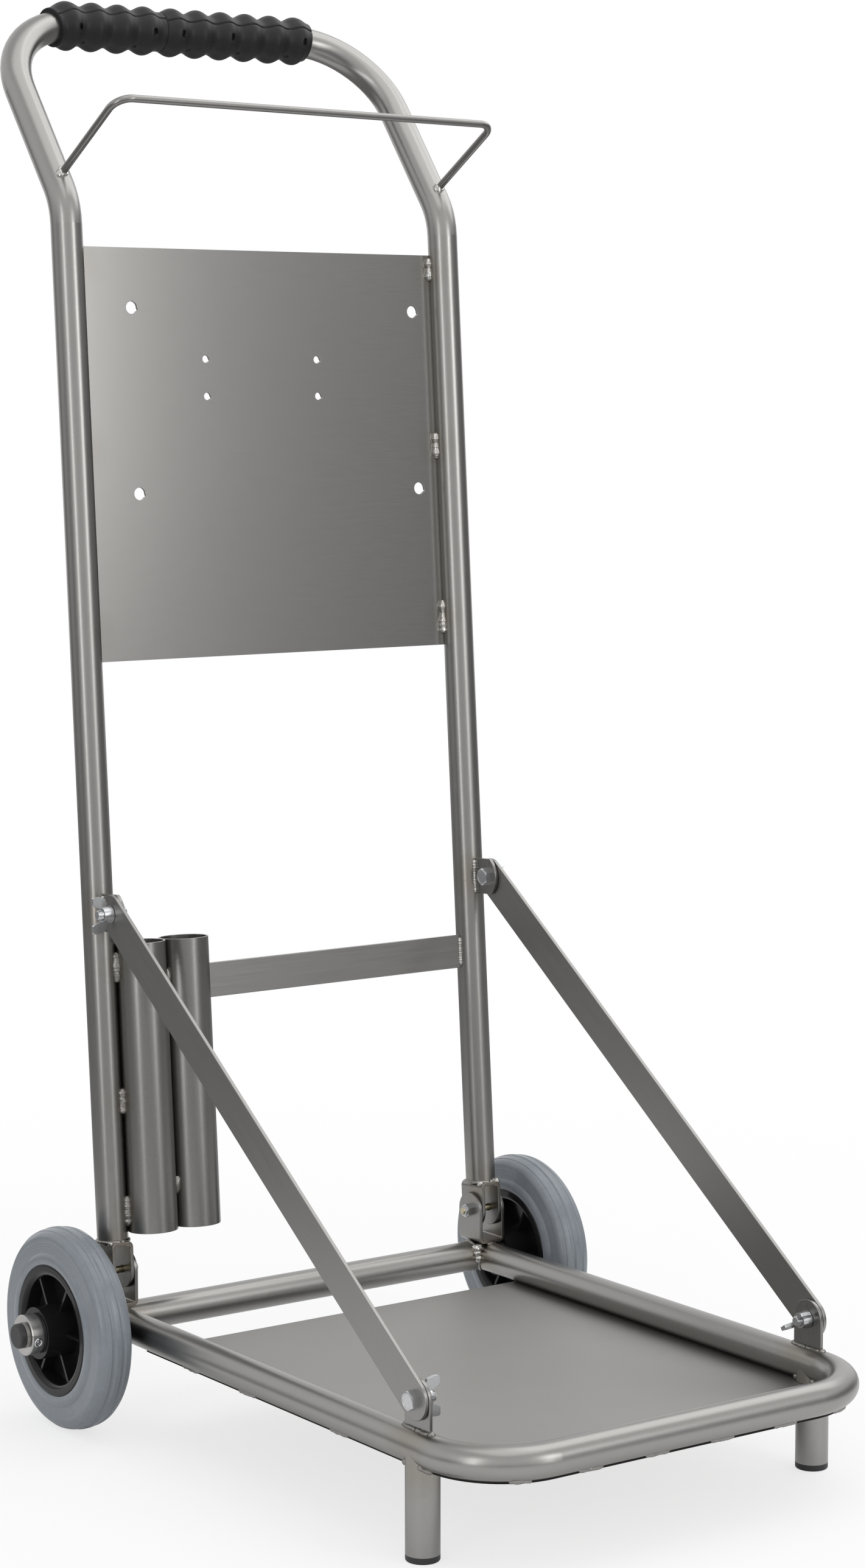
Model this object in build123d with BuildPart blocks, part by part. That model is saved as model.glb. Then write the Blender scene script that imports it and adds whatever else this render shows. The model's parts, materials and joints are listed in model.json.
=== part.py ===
from build123d import *

import os
from math import cos, degrees, radians, sin, sqrt

# A folding stainless steel trolley with a hose hook, a drilled back plate and two lance holders.
# Lengths are in millimetres and angles in degrees. X runs across, the front faces -Y and Z is up.
# The origin is on the floor, under the middle of the whole trolley.
# Left is the -X side, as it is seen from the front.

# Tubes of the frame
tube_d = 25.0
tube_wall = 1.5
frame_spacing = 364.0
rail_front = 491.0
rail_bend = 60.0

# Platform sheet and front legs
sheet_t = 2.0
sheet_rear = 52.0
sheet_overhang = 2.0
leg_reach = 421.0
leg_gap = 0.3
cap_flange = 5.0
cap_stem = 15.0
cap_fit = 0.1
cap_round = 1.5

# Wheels
wheel_d = 160.0
hub_length = 58.0
hub_r = 21.0
hub_draft = 0.6
bearing_bore_r = 14.1
web_t = 5.0
rib_t = 2.4
rib_count = 6
rib_depth = 13.0
rib_root = 1.5
rim_seat_r = 47.0
rim_wall = 4.5
rim_flange_rise = 5.0
rim_flange_t = 2.4
rim_width = 33.0
rim_lip = 4.5
rim_round = 1.5
rim_draft = 1.0
tread_w = 20.0
tread_drop = 1.9
tread_step = 0.7
groove_x = 4.6
groove_r = 3.2
groove_cut = 1.4
sidewall_w = 29.0
sidewall_drop = 11.0
bead_rise = 9.0
bead_crest = 4.5
bead_swell = 2.0
bead_set_back = 0.4

# Roller bearings
roller_count = 8
roller_d = 3.96
roller_length = 44.0
cage_length = 50.0
cage_wall = 1.6
roller_play = 0.1

# Axle, collars, washers and end plugs
axle_d = 20.0
axle_bore = 15.0
axle_play = 0.2
axle_proud = 1.4
washer_t = 0.8
washer_r = 15.0
end_play = 0.3
collar_w = 10.5
collar_r = 16.0
collar_chamfer = 0.8
collar_fit = 0.05
screw_d = 6.0
screw_fit = 0.05
screw_sink = 0.3
screw_socket = 3.0
screw_socket_depth = 2.5
screw_drop = 12.0
plug_r = 9.8
plug_flange = 5.0
plug_stem = 10.0
plug_fit = 0.05
plug_chamfer = 1.0

# Folding hinges at the feet of the upright
hinge_drop = 27.5
hinge_sheet = 3.0
hinge_leg_w = 30.0
hinge_base_w = 26.0
hinge_play = 0.3
hinge_web_rise = 24.0
hinge_bend_in = 1.5
hinge_bolt_d = 6.0
hinge_bolt_play = 0.1
hinge_head_af = 10.0
hinge_head_h = 4.0
hinge_nut_h = 5.0
hinge_nut_collar = 1.6
hinge_nut_collar_r = 4.4
hinge_bolt_proud = 1.2

# Upright frame and handle
lean = 4.0
kink_s = 844.0
kink_bend = 56.0
handle_lean = 37.2
handle_reach = 188.5
handle_bend = 74.0

# Rubber grips
grip_joint_x = -25.5
grip_wrap_left = 22.0
grip_wrap_right = 11.0
grip_valley_r = 16.4
grip_bulge_r = 19.5
grip_core_r = 14.0
bulge_pitch = 24.4
bulge_length = 22.0
left_bulges = 4
right_bulges = 6
left_first_bulge = 16.5
right_first_bulge = 10.5

# Hose hook
rod_d = 6.0
hook_rise = 22.3
hook_angle = 31.6
hook_length_left = 111.0
hook_length_right = 102.0
hook_bend = 14.0

# Back plate
plate_t = 2.0
plate_set_back = 6.0
plate_foot_s = 483.0
plate_h = 328.0
big_hole_d = 10.0
big_span_x = 274.0
big_span_s = 148.0
big_centre_x = 14.0
big_centre_s = 689.5
small_hole_d = 6.0
small_span_x = 108.0
small_span_s = 30.0
small_centre_x = -1.5
small_centre_s = 708.0

# Lance holders and the flat bar beside them
holder_d = 40.0
holder_wall = 1.5
holder_foot_s = 30.0
holder_length = 231.0
holder_forward = 14.0
bar_t = 3.0
bar_w = 28.0
bar_foot_s = 208.0

# Struts, lugs and their bolts
strut_w = 30.0
strut_t = 3.0
lug_w = 30.0
lug_t = 3.0
lug_play = 0.3
lug_nose = 12.5
lug_nose_r = 18.0
upper_pin_s = 286.0
upper_pin_forward = 28.0
lower_pin_reach = 416.0
lower_pin_rise = 34.5
bolt_d = 8.0
bolt_play = 0.1
head_af = 13.0
head_h = 5.3
bolt_proud = 4.0
bolt_parting = 0.1

# Wing nuts
wing_base_r = 7.0
wing_top_r = 5.8
wing_hub_h = 8.0
wing_root_r = 5.0
wing_root_h = 1.5
wing_neck_h = 10.0
wing_span = 29.0
wing_h = 16.0
wing_shoulder = 1.5
wing_shoulder_h = 5.5
wing_tip_h = 10.5
wing_w = 6.5
wing_t = 2.6
wing_round = 1.6
nut_play = 0.3
upper_wing_turns = (90.0, 50.0)
lower_wing_turns = (88.0, -35.0)

# Values that follow from the sizes above
tube_r = tube_d / 2
tube_in_r = tube_r - tube_wall
side_x = frame_spacing / 2
axle_z = wheel_d / 2
axle_r = axle_d / 2
wheel_r = wheel_d / 2
holder_r = holder_d / 2
bolt_r = bolt_d / 2
bolt_hole_r = bolt_r + bolt_play
hinge_bolt_r = hinge_bolt_d / 2
hinge_hole_r = hinge_bolt_r + hinge_bolt_play
rod_r = rod_d / 2
rim_half = rim_width / 2
rim_inner_r = rim_seat_r - rim_wall
rim_flange_r = rim_seat_r + rim_flange_rise
roller_path_r = (axle_r + bearing_bore_r) / 2
roller_r = roller_d / 2
sin_lean = sin(radians(lean))
cos_lean = cos(radians(lean))
sin_handle = sin(radians(handle_lean))
cos_handle = cos(radians(handle_lean))
pin_z = axle_z + tube_r + hinge_drop
bar_y = kink_s * sin_lean + handle_reach * sin_handle
front_reach = rail_front + tube_r
rear_reach = bar_y + grip_bulge_r
axle_y = (front_reach - rear_reach) / 2
sheet_z = axle_z - tube_r - sheet_t
tube_end_x = side_x + tube_r
hub_in_x = tube_end_x + washer_t + end_play
hub_out_x = hub_in_x + hub_length
wheel_x = hub_in_x + hub_length / 2
collar_in_x = hub_out_x + end_play + washer_t
axle_end_x = collar_in_x + collar_w + axle_proud
hinge_bracket_w = hinge_base_w - 2 * hinge_sheet - 2 * hinge_play
strut_in_x = side_x + lug_t / 2 + lug_play
strut_out_x = strut_in_x + strut_t
handle_straight = side_x - handle_bend
sides = (("left", -1), ("right", 1))

# The upright turns about the hinge pin. Its planes lean back with it.
along = Vector(0, sin_lean, cos_lean)
forward = Vector(0, -cos_lean, sin_lean)
up_slope = Vector(0, sin_handle, cos_handle)
pin_point = Vector(0, axle_y, pin_z)
kink_point = pin_point + along * kink_s
bar_point = kink_point + up_slope * handle_reach
upright_face = Plane(origin=pin_point, x_dir=(1, 0, 0), z_dir=forward)
upright_cut = Plane(origin=pin_point, x_dir=(1, 0, 0), z_dir=along)
handle_face = Plane(origin=bar_point, x_dir=(1, 0, 0), z_dir=(0, -cos_handle, sin_handle))


def at_x(point, x):
    """The same point, moved to this distance across the trolley."""
    return Vector(x, point.Y, point.Z)


def frame_side(x):
    """A side view plane through the axle: x runs forward and y up."""
    return Plane(origin=(x, axle_y, axle_z), x_dir=(0, -1, 0), z_dir=(-1, 0, 0))


def upright_side(x):
    """A side view plane that leans with the upright: x runs forward and y along the tubes."""
    return Plane(origin=(x, axle_y, pin_z), x_dir=forward, z_dir=(-1, 0, 0))


def round_bar(start, end, radius, mode=Mode.ADD):
    """A round bar between two points, added to the piece or cut from it."""
    axis = end - start
    with BuildSketch(Plane(origin=start, z_dir=axis)) as section:
        Circle(radius)
    extrude(section.sketch, amount=axis.length, dir=axis, mode=mode)


def hex_bar(start, axis, across_flats, height):
    """The hexagon of a bolt head or a nut, which grows from its bearing face."""
    with BuildSketch(Plane(origin=start, x_dir=(0, 0, 1), z_dir=axis)) as section:
        RegularPolygon(across_flats / 2, 6, major_radius=False)
    extrude(section.sketch, amount=height, dir=axis)


def rail_sweep(radius, mode=Mode.ADD):
    """The bent line of the platform rail, filled out to a round bar."""
    ends = [(-side_x, 0), (-side_x, -rail_front), (side_x, -rail_front), (side_x, 0)]
    start = (-side_x, axle_y, axle_z)
    with BuildLine(Plane(origin=(0, axle_y, axle_z))) as route:
        FilletPolyline(*ends, radius=rail_bend)
    with BuildSketch(Plane(origin=start, z_dir=(0, -1, 0))) as section:
        Circle(radius)
    sweep(section.sketch, path=route.line, mode=mode)


def upright_sweep(radius, mode=Mode.ADD):
    """The bent line of the upright and its handle, filled out to a round bar."""
    foot = pin_point + along * hinge_web_rise
    left = [at_x(point, -side_x) for point in (foot, kink_point, bar_point)]
    right = [at_x(point, side_x) for point in (bar_point, kink_point, foot)]
    with BuildLine() as route:
        FilletPolyline(*left, *right, radius=[kink_bend, handle_bend, handle_bend, kink_bend])
    with BuildSketch(Plane(origin=left[0], z_dir=along)) as section:
        Circle(radius)
    sweep(section.sketch, path=route.line, mode=mode)


def axle_at(x):
    """The point of the axle line at this distance across the trolley."""
    return Vector(x, axle_y, axle_z)


def grip_plane(sign, distance):
    """A plane across the bar's own plane, this far from the joint of the sleeves along the bar."""
    straight = handle_straight - sign * grip_joint_x
    turn = max(distance - straight, 0) / handle_bend
    x = grip_joint_x + sign * (min(distance, straight) + handle_bend * sin(turn))
    point = handle_face.from_local_coords((x, handle_bend * (cos(turn) - 1), 0))
    direction = Vector(sign * cos(turn), 0, 0) - up_slope * sin(turn)
    return Plane(origin=point, x_dir=direction, z_dir=handle_face.z_dir)


def wing_nut(base, outward, turn):
    """A wing nut that stands on this point of its bolt, with its wings turned by this angle."""
    radial = Vector(0, cos(radians(turn)), sin(radians(turn)))
    face = Plane(origin=base, x_dir=radial, z_dir=radial.cross(outward))
    tip_r = wing_span / 2
    with BuildPart() as nut:
        with BuildSketch(face):
            with BuildLine():
                Polyline(
                    (bolt_hole_r, 0),
                    (wing_base_r, 0),
                    (wing_top_r, wing_hub_h),
                    (bolt_hole_r, wing_hub_h),
                    close=True,
                )
            make_face()
        revolve(axis=Axis(base, outward))
        with BuildSketch(face):
            with BuildLine():
                Polyline(
                    (wing_root_r, wing_root_h),
                    (tip_r - wing_shoulder, wing_shoulder_h),
                    (tip_r, wing_tip_h),
                    (tip_r, wing_h),
                    (tip_r - wing_w, wing_h),
                    (wing_root_r, wing_neck_h),
                    close=True,
                )
            wing = make_face()
            fillet(wing.vertices().sort_by(Axis.X)[2:], wing_round)
            mirror(about=Plane.YZ)
        extrude(amount=wing_t / 2, both=True)
    return nut


def save(piece, name):
    """Names a finished piece and writes it to its own file."""
    piece.part.label = name
    export_step(piece.part, f"parts/{name}.step")


os.makedirs("parts", exist_ok=True)

# Platform rail: one tube bent into a U, with its open ends shaped to the axle tube
with BuildPart() as platform_rail:
    rail_sweep(tube_r)
    rail_sweep(tube_in_r, Mode.SUBTRACT)
    round_bar(axle_at(-tube_end_x), axle_at(tube_end_x), tube_r, Mode.SUBTRACT)
save(platform_rail, "platform_rail")

# Axle tube: the rear cross tube, which the axle runs through
with BuildPart() as axle_tube:
    round_bar(axle_at(-tube_end_x), axle_at(tube_end_x), tube_r)
    round_bar(axle_at(-tube_end_x), axle_at(tube_end_x), axle_r + axle_play, Mode.SUBTRACT)
save(axle_tube, "axle_tube")

# Platform sheet: welded under the rail, open to the axle tube behind
with BuildPart() as platform_plate:
    sheet_front_y = axle_y - rail_front - sheet_overhang
    sheet_rear_y = axle_y - sheet_rear
    sheet_half_w = side_x + sheet_overhang
    with BuildSketch(Plane.XY.offset(sheet_z)):
        with Locations((0, (sheet_front_y + sheet_rear_y) / 2)):
            outline = Rectangle(2 * sheet_half_w, sheet_rear_y - sheet_front_y)
        fillet(outline.vertices().group_by(Axis.Y)[0], rail_bend + sheet_overhang)
        with Locations((-side_x, axle_y - leg_reach), (side_x, axle_y - leg_reach)):
            Circle(tube_r + leg_gap, mode=Mode.SUBTRACT)
    extrude(amount=sheet_t)
save(platform_plate, "platform_plate")

for side, sign in sides:
    x = sign * side_x
    leg_foot = Vector(x, axle_y - leg_reach, 0)

    # Front leg: a tube with its top shaped to the rail
    with BuildPart() as front_leg:
        with BuildSketch(Plane(origin=leg_foot).offset(cap_flange)):
            Circle(tube_r)
            Circle(tube_in_r, mode=Mode.SUBTRACT)
        extrude(amount=axle_z - cap_flange)
        rail_sweep(tube_r, Mode.SUBTRACT)
    save(front_leg, f"front_leg_{side}")

    # Leg cap: a plastic foot pushed into the tube
    with BuildPart() as leg_cap:
        with BuildSketch(Plane(origin=leg_foot)):
            Circle(tube_r)
        extrude(amount=cap_flange)
        fillet(leg_cap.edges().group_by(Axis.Z)[0], cap_round)
        with BuildSketch(Plane(origin=leg_foot).offset(cap_flange)):
            Circle(tube_in_r - cap_fit)
        extrude(amount=cap_stem)
    save(leg_cap, f"leg_cap_{side}")

    # Lower lug: a round topped plate that stands on the rail
    with BuildPart() as lower_lug:
        with BuildSketch(frame_side(x)):
            with Locations((lower_pin_reach, lower_pin_rise / 2)):
                Rectangle(lug_w, lower_pin_rise)
            with Locations((lower_pin_reach, lower_pin_rise)):
                Circle(lug_w / 2)
                Circle(bolt_hole_r, mode=Mode.SUBTRACT)
        extrude(amount=lug_t / 2, both=True)
        rail_sweep(tube_r, Mode.SUBTRACT)
    save(lower_lug, f"lower_lug_{side}")

    # Hinge base: a U of folded sheet that stands on the rear corner of the platform
    with BuildPart() as hinge_base:
        base_rise = hinge_drop + hinge_leg_w / 2
        with BuildSketch(Plane(origin=(x, axle_y, pin_z - hinge_drop), x_dir=(1, 0, 0), z_dir=(0, -1, 0))):
            with Locations((0, base_rise / 2)):
                folded = Rectangle(hinge_base_w, base_rise)
            fillet(folded.vertices().group_by(Axis.Y)[0], hinge_bend_in + hinge_sheet)
            with Locations((0, hinge_sheet + base_rise / 2)):
                RectangleRounded(
                    hinge_base_w - 2 * hinge_sheet, base_rise, hinge_bend_in, mode=Mode.SUBTRACT
                )
        extrude(amount=hinge_leg_w / 2, both=True)
        with BuildSketch(Plane(origin=(x, axle_y, pin_z), x_dir=(0, -1, 0), z_dir=(-1, 0, 0))):
            with Locations((0, -hinge_drop / 2)):
                Rectangle(hinge_leg_w, hinge_drop)
            Circle(hinge_leg_w / 2)
            Circle(hinge_hole_r, mode=Mode.SUBTRACT)
        extrude(amount=hinge_base_w, both=True, mode=Mode.INTERSECT)
    save(hinge_base, f"hinge_base_{side}")

    # Hinge bracket: the narrower U welded to the tube, upside down between the legs of the base
    with BuildPart() as hinge_bracket:
        bracket_h = hinge_web_rise + hinge_leg_w / 2
        with BuildSketch(Plane(origin=at_x(pin_point, x), x_dir=(1, 0, 0), z_dir=forward)):
            with Locations((0, hinge_web_rise - bracket_h / 2)):
                folded = Rectangle(hinge_bracket_w, bracket_h)
            fillet(folded.vertices().group_by(Axis.Y)[-1], hinge_bend_in + hinge_sheet)
            with Locations((0, hinge_web_rise - hinge_sheet - bracket_h / 2)):
                RectangleRounded(
                    hinge_bracket_w - 2 * hinge_sheet, bracket_h, hinge_bend_in, mode=Mode.SUBTRACT
                )
        extrude(amount=hinge_leg_w / 2, both=True)
        with BuildSketch(upright_side(x)):
            with Locations((0, hinge_web_rise / 2)):
                Rectangle(hinge_leg_w, hinge_web_rise)
            Circle(hinge_leg_w / 2)
            Circle(hinge_hole_r, mode=Mode.SUBTRACT)
        extrude(amount=hinge_base_w, both=True, mode=Mode.INTERSECT)
    save(hinge_bracket, f"hinge_bracket_{side}")

    # Hinge bolt: its head faces the wheel and it passes through all four legs
    outward = Vector(sign, 0, 0)
    inward = Vector(-sign, 0, 0)
    hinge_out = at_x(pin_point, x + sign * hinge_base_w / 2)
    hinge_in = at_x(pin_point, x - sign * hinge_base_w / 2)
    collar_face = hinge_in + inward * hinge_nut_h
    nut_face = collar_face + inward * hinge_nut_collar
    with BuildPart() as hinge_bolt:
        hex_bar(hinge_out, outward, hinge_head_af, hinge_head_h)
        round_bar(hinge_out, nut_face + inward * hinge_bolt_proud, hinge_bolt_r)
    save(hinge_bolt, f"hinge_bolt_{side}")

    # Hinge nut: a lock nut with a round collar
    with BuildPart() as hinge_nut:
        hex_bar(hinge_in, inward, hinge_head_af, hinge_nut_h)
        round_bar(collar_face, nut_face, hinge_nut_collar_r)
        round_bar(hinge_in, nut_face, hinge_bolt_r, Mode.SUBTRACT)
    save(hinge_nut, f"hinge_nut_{side}")

# Axle: a tube right across the trolley
with BuildPart() as axle:
    round_bar(axle_at(-axle_end_x), axle_at(axle_end_x), axle_r)
    round_bar(axle_at(-axle_end_x), axle_at(axle_end_x), axle_bore / 2, Mode.SUBTRACT)
save(axle, "axle")

for side, sign in sides:
    wheel_centre = axle_at(sign * wheel_x)
    wheel_half = Plane(origin=wheel_centre, x_dir=(1, 0, 0), z_dir=(0, -1, 0))
    wheel_face = Plane(origin=wheel_centre, x_dir=(0, 1, 0), z_dir=(1, 0, 0))
    wheel_axis = Axis(wheel_centre, (1, 0, 0))

    # Hub washers: one on each end of the hub
    with BuildPart() as hub_washers:
        for start_x in (tube_end_x, hub_out_x + end_play):
            start = axle_at(sign * start_x)
            end = axle_at(sign * (start_x + washer_t))
            round_bar(start, end, washer_r)
            round_bar(start, end, axle_r + axle_play, Mode.SUBTRACT)
    save(hub_washers, f"hub_washers_{side}")

    # Axle collar: a steel ring that a set screw holds on the axle
    collar_in = axle_at(sign * collar_in_x)
    collar_out = axle_at(sign * (collar_in_x + collar_w))
    collar_mid = (collar_in + collar_out) / 2
    screw_way = Vector(0, -cos(radians(screw_drop)), -sin(radians(screw_drop)))
    screw_foot = collar_mid + screw_way * (axle_r + screw_fit)
    screw_top = collar_mid + screw_way * (collar_r - screw_sink)
    with BuildPart() as axle_collar:
        round_bar(collar_in, collar_out, collar_r)
        chamfer(axle_collar.edges().filter_by(GeomType.CIRCLE), collar_chamfer)
        round_bar(collar_in, collar_out, axle_r + collar_fit, Mode.SUBTRACT)
        round_bar(collar_mid, collar_mid + screw_way * collar_r, screw_d / 2 + screw_fit, Mode.SUBTRACT)
    save(axle_collar, f"axle_collar_{side}")

    # Collar screw: a set screw with a hexagon socket
    with BuildPart() as collar_screw:
        round_bar(screw_foot, screw_top, screw_d / 2)
        with BuildSketch(Plane(origin=screw_top, x_dir=(1, 0, 0), z_dir=screw_way)):
            RegularPolygon(screw_socket / 2, 6, major_radius=False)
        extrude(amount=-screw_socket_depth, mode=Mode.SUBTRACT)
    save(collar_screw, f"collar_screw_{side}")

    # Axle plug: a plastic cap in the end of the axle
    plug_in = axle_at(sign * axle_end_x)
    with BuildPart() as axle_plug:
        round_bar(plug_in, axle_at(sign * (axle_end_x + plug_flange)), plug_r)
        rounds = axle_plug.edges().filter_by(GeomType.CIRCLE).sort_by(Axis.X)
        chamfer(rounds[-1] if sign > 0 else rounds[0], plug_chamfer)
        round_bar(plug_in, axle_at(sign * (axle_end_x - plug_stem)), axle_bore / 2 - plug_fit)
    save(axle_plug, f"axle_plug_{side}")

    # Rim: one plastic moulding of hub, ribbed web and tyre seat
    with BuildPart() as rim:
        with BuildSketch(wheel_half):
            with BuildLine():
                mouth_in = (rim_half - rim_lip, rim_inner_r)
                mouth_out = (rim_half, rim_inner_r + rim_lip)
                flange_out = (rim_half, rim_flange_r - rim_round)
                flange_top = (rim_half - rim_round, rim_flange_r)
                TangentArc(mouth_in, mouth_out, tangent=(1, 0))
                Line(mouth_out, flange_out)
                TangentArc(flange_out, flange_top, tangent=(0, 1))
                Polyline(
                    flange_top,
                    (rim_half - rim_flange_t, rim_flange_r),
                    (rim_half - rim_flange_t, rim_seat_r),
                    (0, rim_seat_r),
                    (0, bearing_bore_r),
                    (hub_length / 2, bearing_bore_r),
                    (hub_length / 2, hub_r - hub_draft),
                    (web_t / 2, hub_r),
                    (web_t / 2, rim_inner_r - rim_draft),
                    mouth_in,
                )
            make_face()
            mirror(about=Plane.YZ)
        revolve(axis=wheel_axis)
        rib_in_r = hub_r - rib_root
        rib_out_r = rim_inner_r + rib_root
        with BuildSketch(wheel_face):
            with PolarLocations((rib_in_r + rib_out_r) / 2, rib_count):
                Rectangle(rib_out_r - rib_in_r, rib_t)
        extrude(amount=rib_depth, both=True)
    save(rim, f"rim_{side}")

    # Tyre: solid rubber with a grooved tread, a bead beside the rim and a flat wall between them
    with BuildPart() as tyre:
        half_wall = sidewall_w / 2
        tread_edge = (tread_w / 2, wheel_r - tread_drop)
        tread_foot = (tread_w / 2 + tread_step / 2, wheel_r - tread_drop - tread_step)
        wall_top = (half_wall, wheel_r - sidewall_drop)
        bead_top = (half_wall, rim_flange_r + bead_rise)
        bead_side = (half_wall + bead_swell, rim_flange_r + bead_crest)
        bead_foot = (rim_half - bead_set_back, rim_flange_r)
        with BuildSketch(wheel_half):
            with BuildLine():
                crown = TangentArc((0, wheel_r), tread_edge, tangent=(1, 0))
                Line(tread_edge, tread_foot)
                TangentArc(tread_foot, wall_top, tangent=crown % 1)
                Line(wall_top, bead_top)
                ThreePointArc(bead_top, bead_side, bead_foot)
                Polyline(
                    bead_foot,
                    (rim_half - rim_flange_t, rim_flange_r),
                    (rim_half - rim_flange_t, rim_seat_r),
                    (0, rim_seat_r),
                    (0, wheel_r),
                )
            make_face()
            with Locations((groove_x, wheel_r - groove_cut + groove_r)):
                Circle(groove_r, mode=Mode.SUBTRACT)
            mirror(about=Plane.YZ)
        revolve(axis=wheel_axis)
    save(tyre, f"tyre_{side}")

    # Bearing rollers: they run on the axle, inside the hub
    with BuildPart() as bearing_rollers:
        with BuildSketch(wheel_face):
            with PolarLocations(roller_path_r, roller_count):
                Circle(roller_r)
        extrude(amount=roller_length / 2, both=True)
    save(bearing_rollers, f"bearing_rollers_{side}")

    # Bearing cage: a plastic sleeve that keeps the rollers apart
    with BuildPart() as bearing_cage:
        with BuildSketch(wheel_face):
            Circle(roller_path_r + cage_wall / 2)
            Circle(roller_path_r - cage_wall / 2, mode=Mode.SUBTRACT)
        extrude(amount=cage_length / 2, both=True)
        with BuildSketch(wheel_face):
            with PolarLocations(roller_path_r, roller_count):
                Circle(roller_r + roller_play)
        extrude(amount=roller_length / 2 + roller_play, both=True, mode=Mode.SUBTRACT)
    save(bearing_cage, f"bearing_cage_{side}")

# Upright frame: one tube bent into both uprights and the handle bar
with BuildPart() as upright_frame:
    upright_sweep(tube_r)
    upright_sweep(tube_in_r, Mode.SUBTRACT)
save(upright_frame, "upright_frame")

# Rubber grips: two sleeves that meet on the handle bar and end a little way into its bends
for side, sign, wrap, bulges, first_bulge in (
    ("left", -1, grip_wrap_left, left_bulges, left_first_bulge),
    ("right", 1, grip_wrap_right, right_bulges, right_first_bulge),
):
    with BuildPart() as grip_sleeve:
        with BuildLine(handle_face):
            Line((grip_joint_x, 0), (sign * handle_straight, 0))
            bend_from = (sign * handle_straight, 0)
            JernArc(bend_from, (sign, 0), handle_bend, -sign * degrees(wrap / handle_bend))
        with BuildSketch(Plane(origin=grip_plane(sign, 0).origin, z_dir=(sign, 0, 0))):
            Circle(grip_valley_r)
        sweep()
        for index in range(bulges):
            bulge = grip_plane(sign, first_bulge + index * bulge_pitch)
            with BuildSketch(bulge):
                with BuildLine():
                    bulge_from = (-bulge_length / 2, grip_valley_r)
                    bulge_to = (bulge_length / 2, grip_valley_r)
                    ThreePointArc(bulge_from, (0, grip_bulge_r), bulge_to)
                    Polyline(
                        bulge_to,
                        (bulge_length / 2, grip_core_r),
                        (-bulge_length / 2, grip_core_r),
                        bulge_from,
                    )
                make_face()
            revolve(axis=Axis(bulge.origin, bulge.x_dir))
        split(bisect_by=Plane(origin=grip_plane(sign, 0).origin, z_dir=(sign, 0, 0)), keep=Keep.TOP)
        upright_sweep(tube_r, Mode.SUBTRACT)
    save(grip_sleeve, f"grip_sleeve_{side}")

# Hose hook: a rod bent into a wide loop in front of the handle
hook_root = kink_point + up_slope * hook_rise
hook_way = Vector(0, -cos(radians(hook_angle)), sin(radians(hook_angle)))
hook_left = at_x(hook_root + hook_way * hook_length_left, -side_x)
hook_right = at_x(hook_root + hook_way * hook_length_right, side_x)
with BuildPart() as hose_hook:
    with BuildLine():
        FilletPolyline(
            at_x(hook_root, -side_x),
            hook_left,
            hook_right,
            at_x(hook_root, side_x),
            radius=hook_bend,
        )
    with BuildSketch(Plane(origin=at_x(hook_root, -side_x), z_dir=hook_way)):
        Circle(rod_r)
    sweep()
    upright_sweep(tube_r, Mode.SUBTRACT)
save(hose_hook, "hose_hook")

# Back plate: a drilled sheet between the uprights, set back from their middle
with BuildPart() as back_plate:
    with BuildSketch(upright_face.offset(-plate_set_back)):
        with Locations((0, plate_foot_s + plate_h / 2)):
            Rectangle(frame_spacing, plate_h)
        with Locations((big_centre_x, big_centre_s)):
            with GridLocations(big_span_x, big_span_s, 2, 2):
                Circle(big_hole_d / 2, mode=Mode.SUBTRACT)
        with Locations((small_centre_x, small_centre_s)):
            with GridLocations(small_span_x, small_span_s, 2, 2):
                Circle(small_hole_d / 2, mode=Mode.SUBTRACT)
    extrude(amount=plate_t / 2, both=True)
    upright_sweep(tube_r, Mode.SUBTRACT)
save(back_plate, "back_plate")

# Lance holders: two open tubes side by side, welded to the left upright and to each other
outer_holder_x = sqrt((tube_r + holder_r) ** 2 - holder_forward**2) - side_x
inner_holder_x = outer_holder_x + holder_d
for place, holder_x in (("outer", outer_holder_x), ("inner", inner_holder_x)):
    with BuildPart() as lance_holder:
        with BuildSketch(upright_cut.offset(holder_foot_s)):
            with Locations((holder_x, -holder_forward)):
                Circle(holder_r)
                Circle(holder_r - holder_wall, mode=Mode.SUBTRACT)
        extrude(amount=holder_length)
    save(lance_holder, f"lance_holder_{place}")

# Cross bar: a flat bar from the inner holder to the right upright
with BuildPart() as cross_bar:
    with BuildSketch(upright_face):
        with Locations(((inner_holder_x + side_x) / 2, bar_foot_s + bar_w / 2)):
            Rectangle(side_x - inner_holder_x, bar_w)
    extrude(amount=bar_t / 2, both=True)
    with BuildSketch(upright_cut.offset(holder_foot_s)):
        with Locations((inner_holder_x, -holder_forward)):
            Circle(holder_r)
    extrude(amount=holder_length, mode=Mode.SUBTRACT)
    upright_sweep(tube_r, Mode.SUBTRACT)
save(cross_bar, "cross_bar")

upper_pin = pin_point + along * upper_pin_s + forward * upper_pin_forward
lower_pin = Vector(0, axle_y - lower_pin_reach, axle_z + lower_pin_rise)
strut_way = lower_pin - upper_pin
strut_length = strut_way.length

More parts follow.
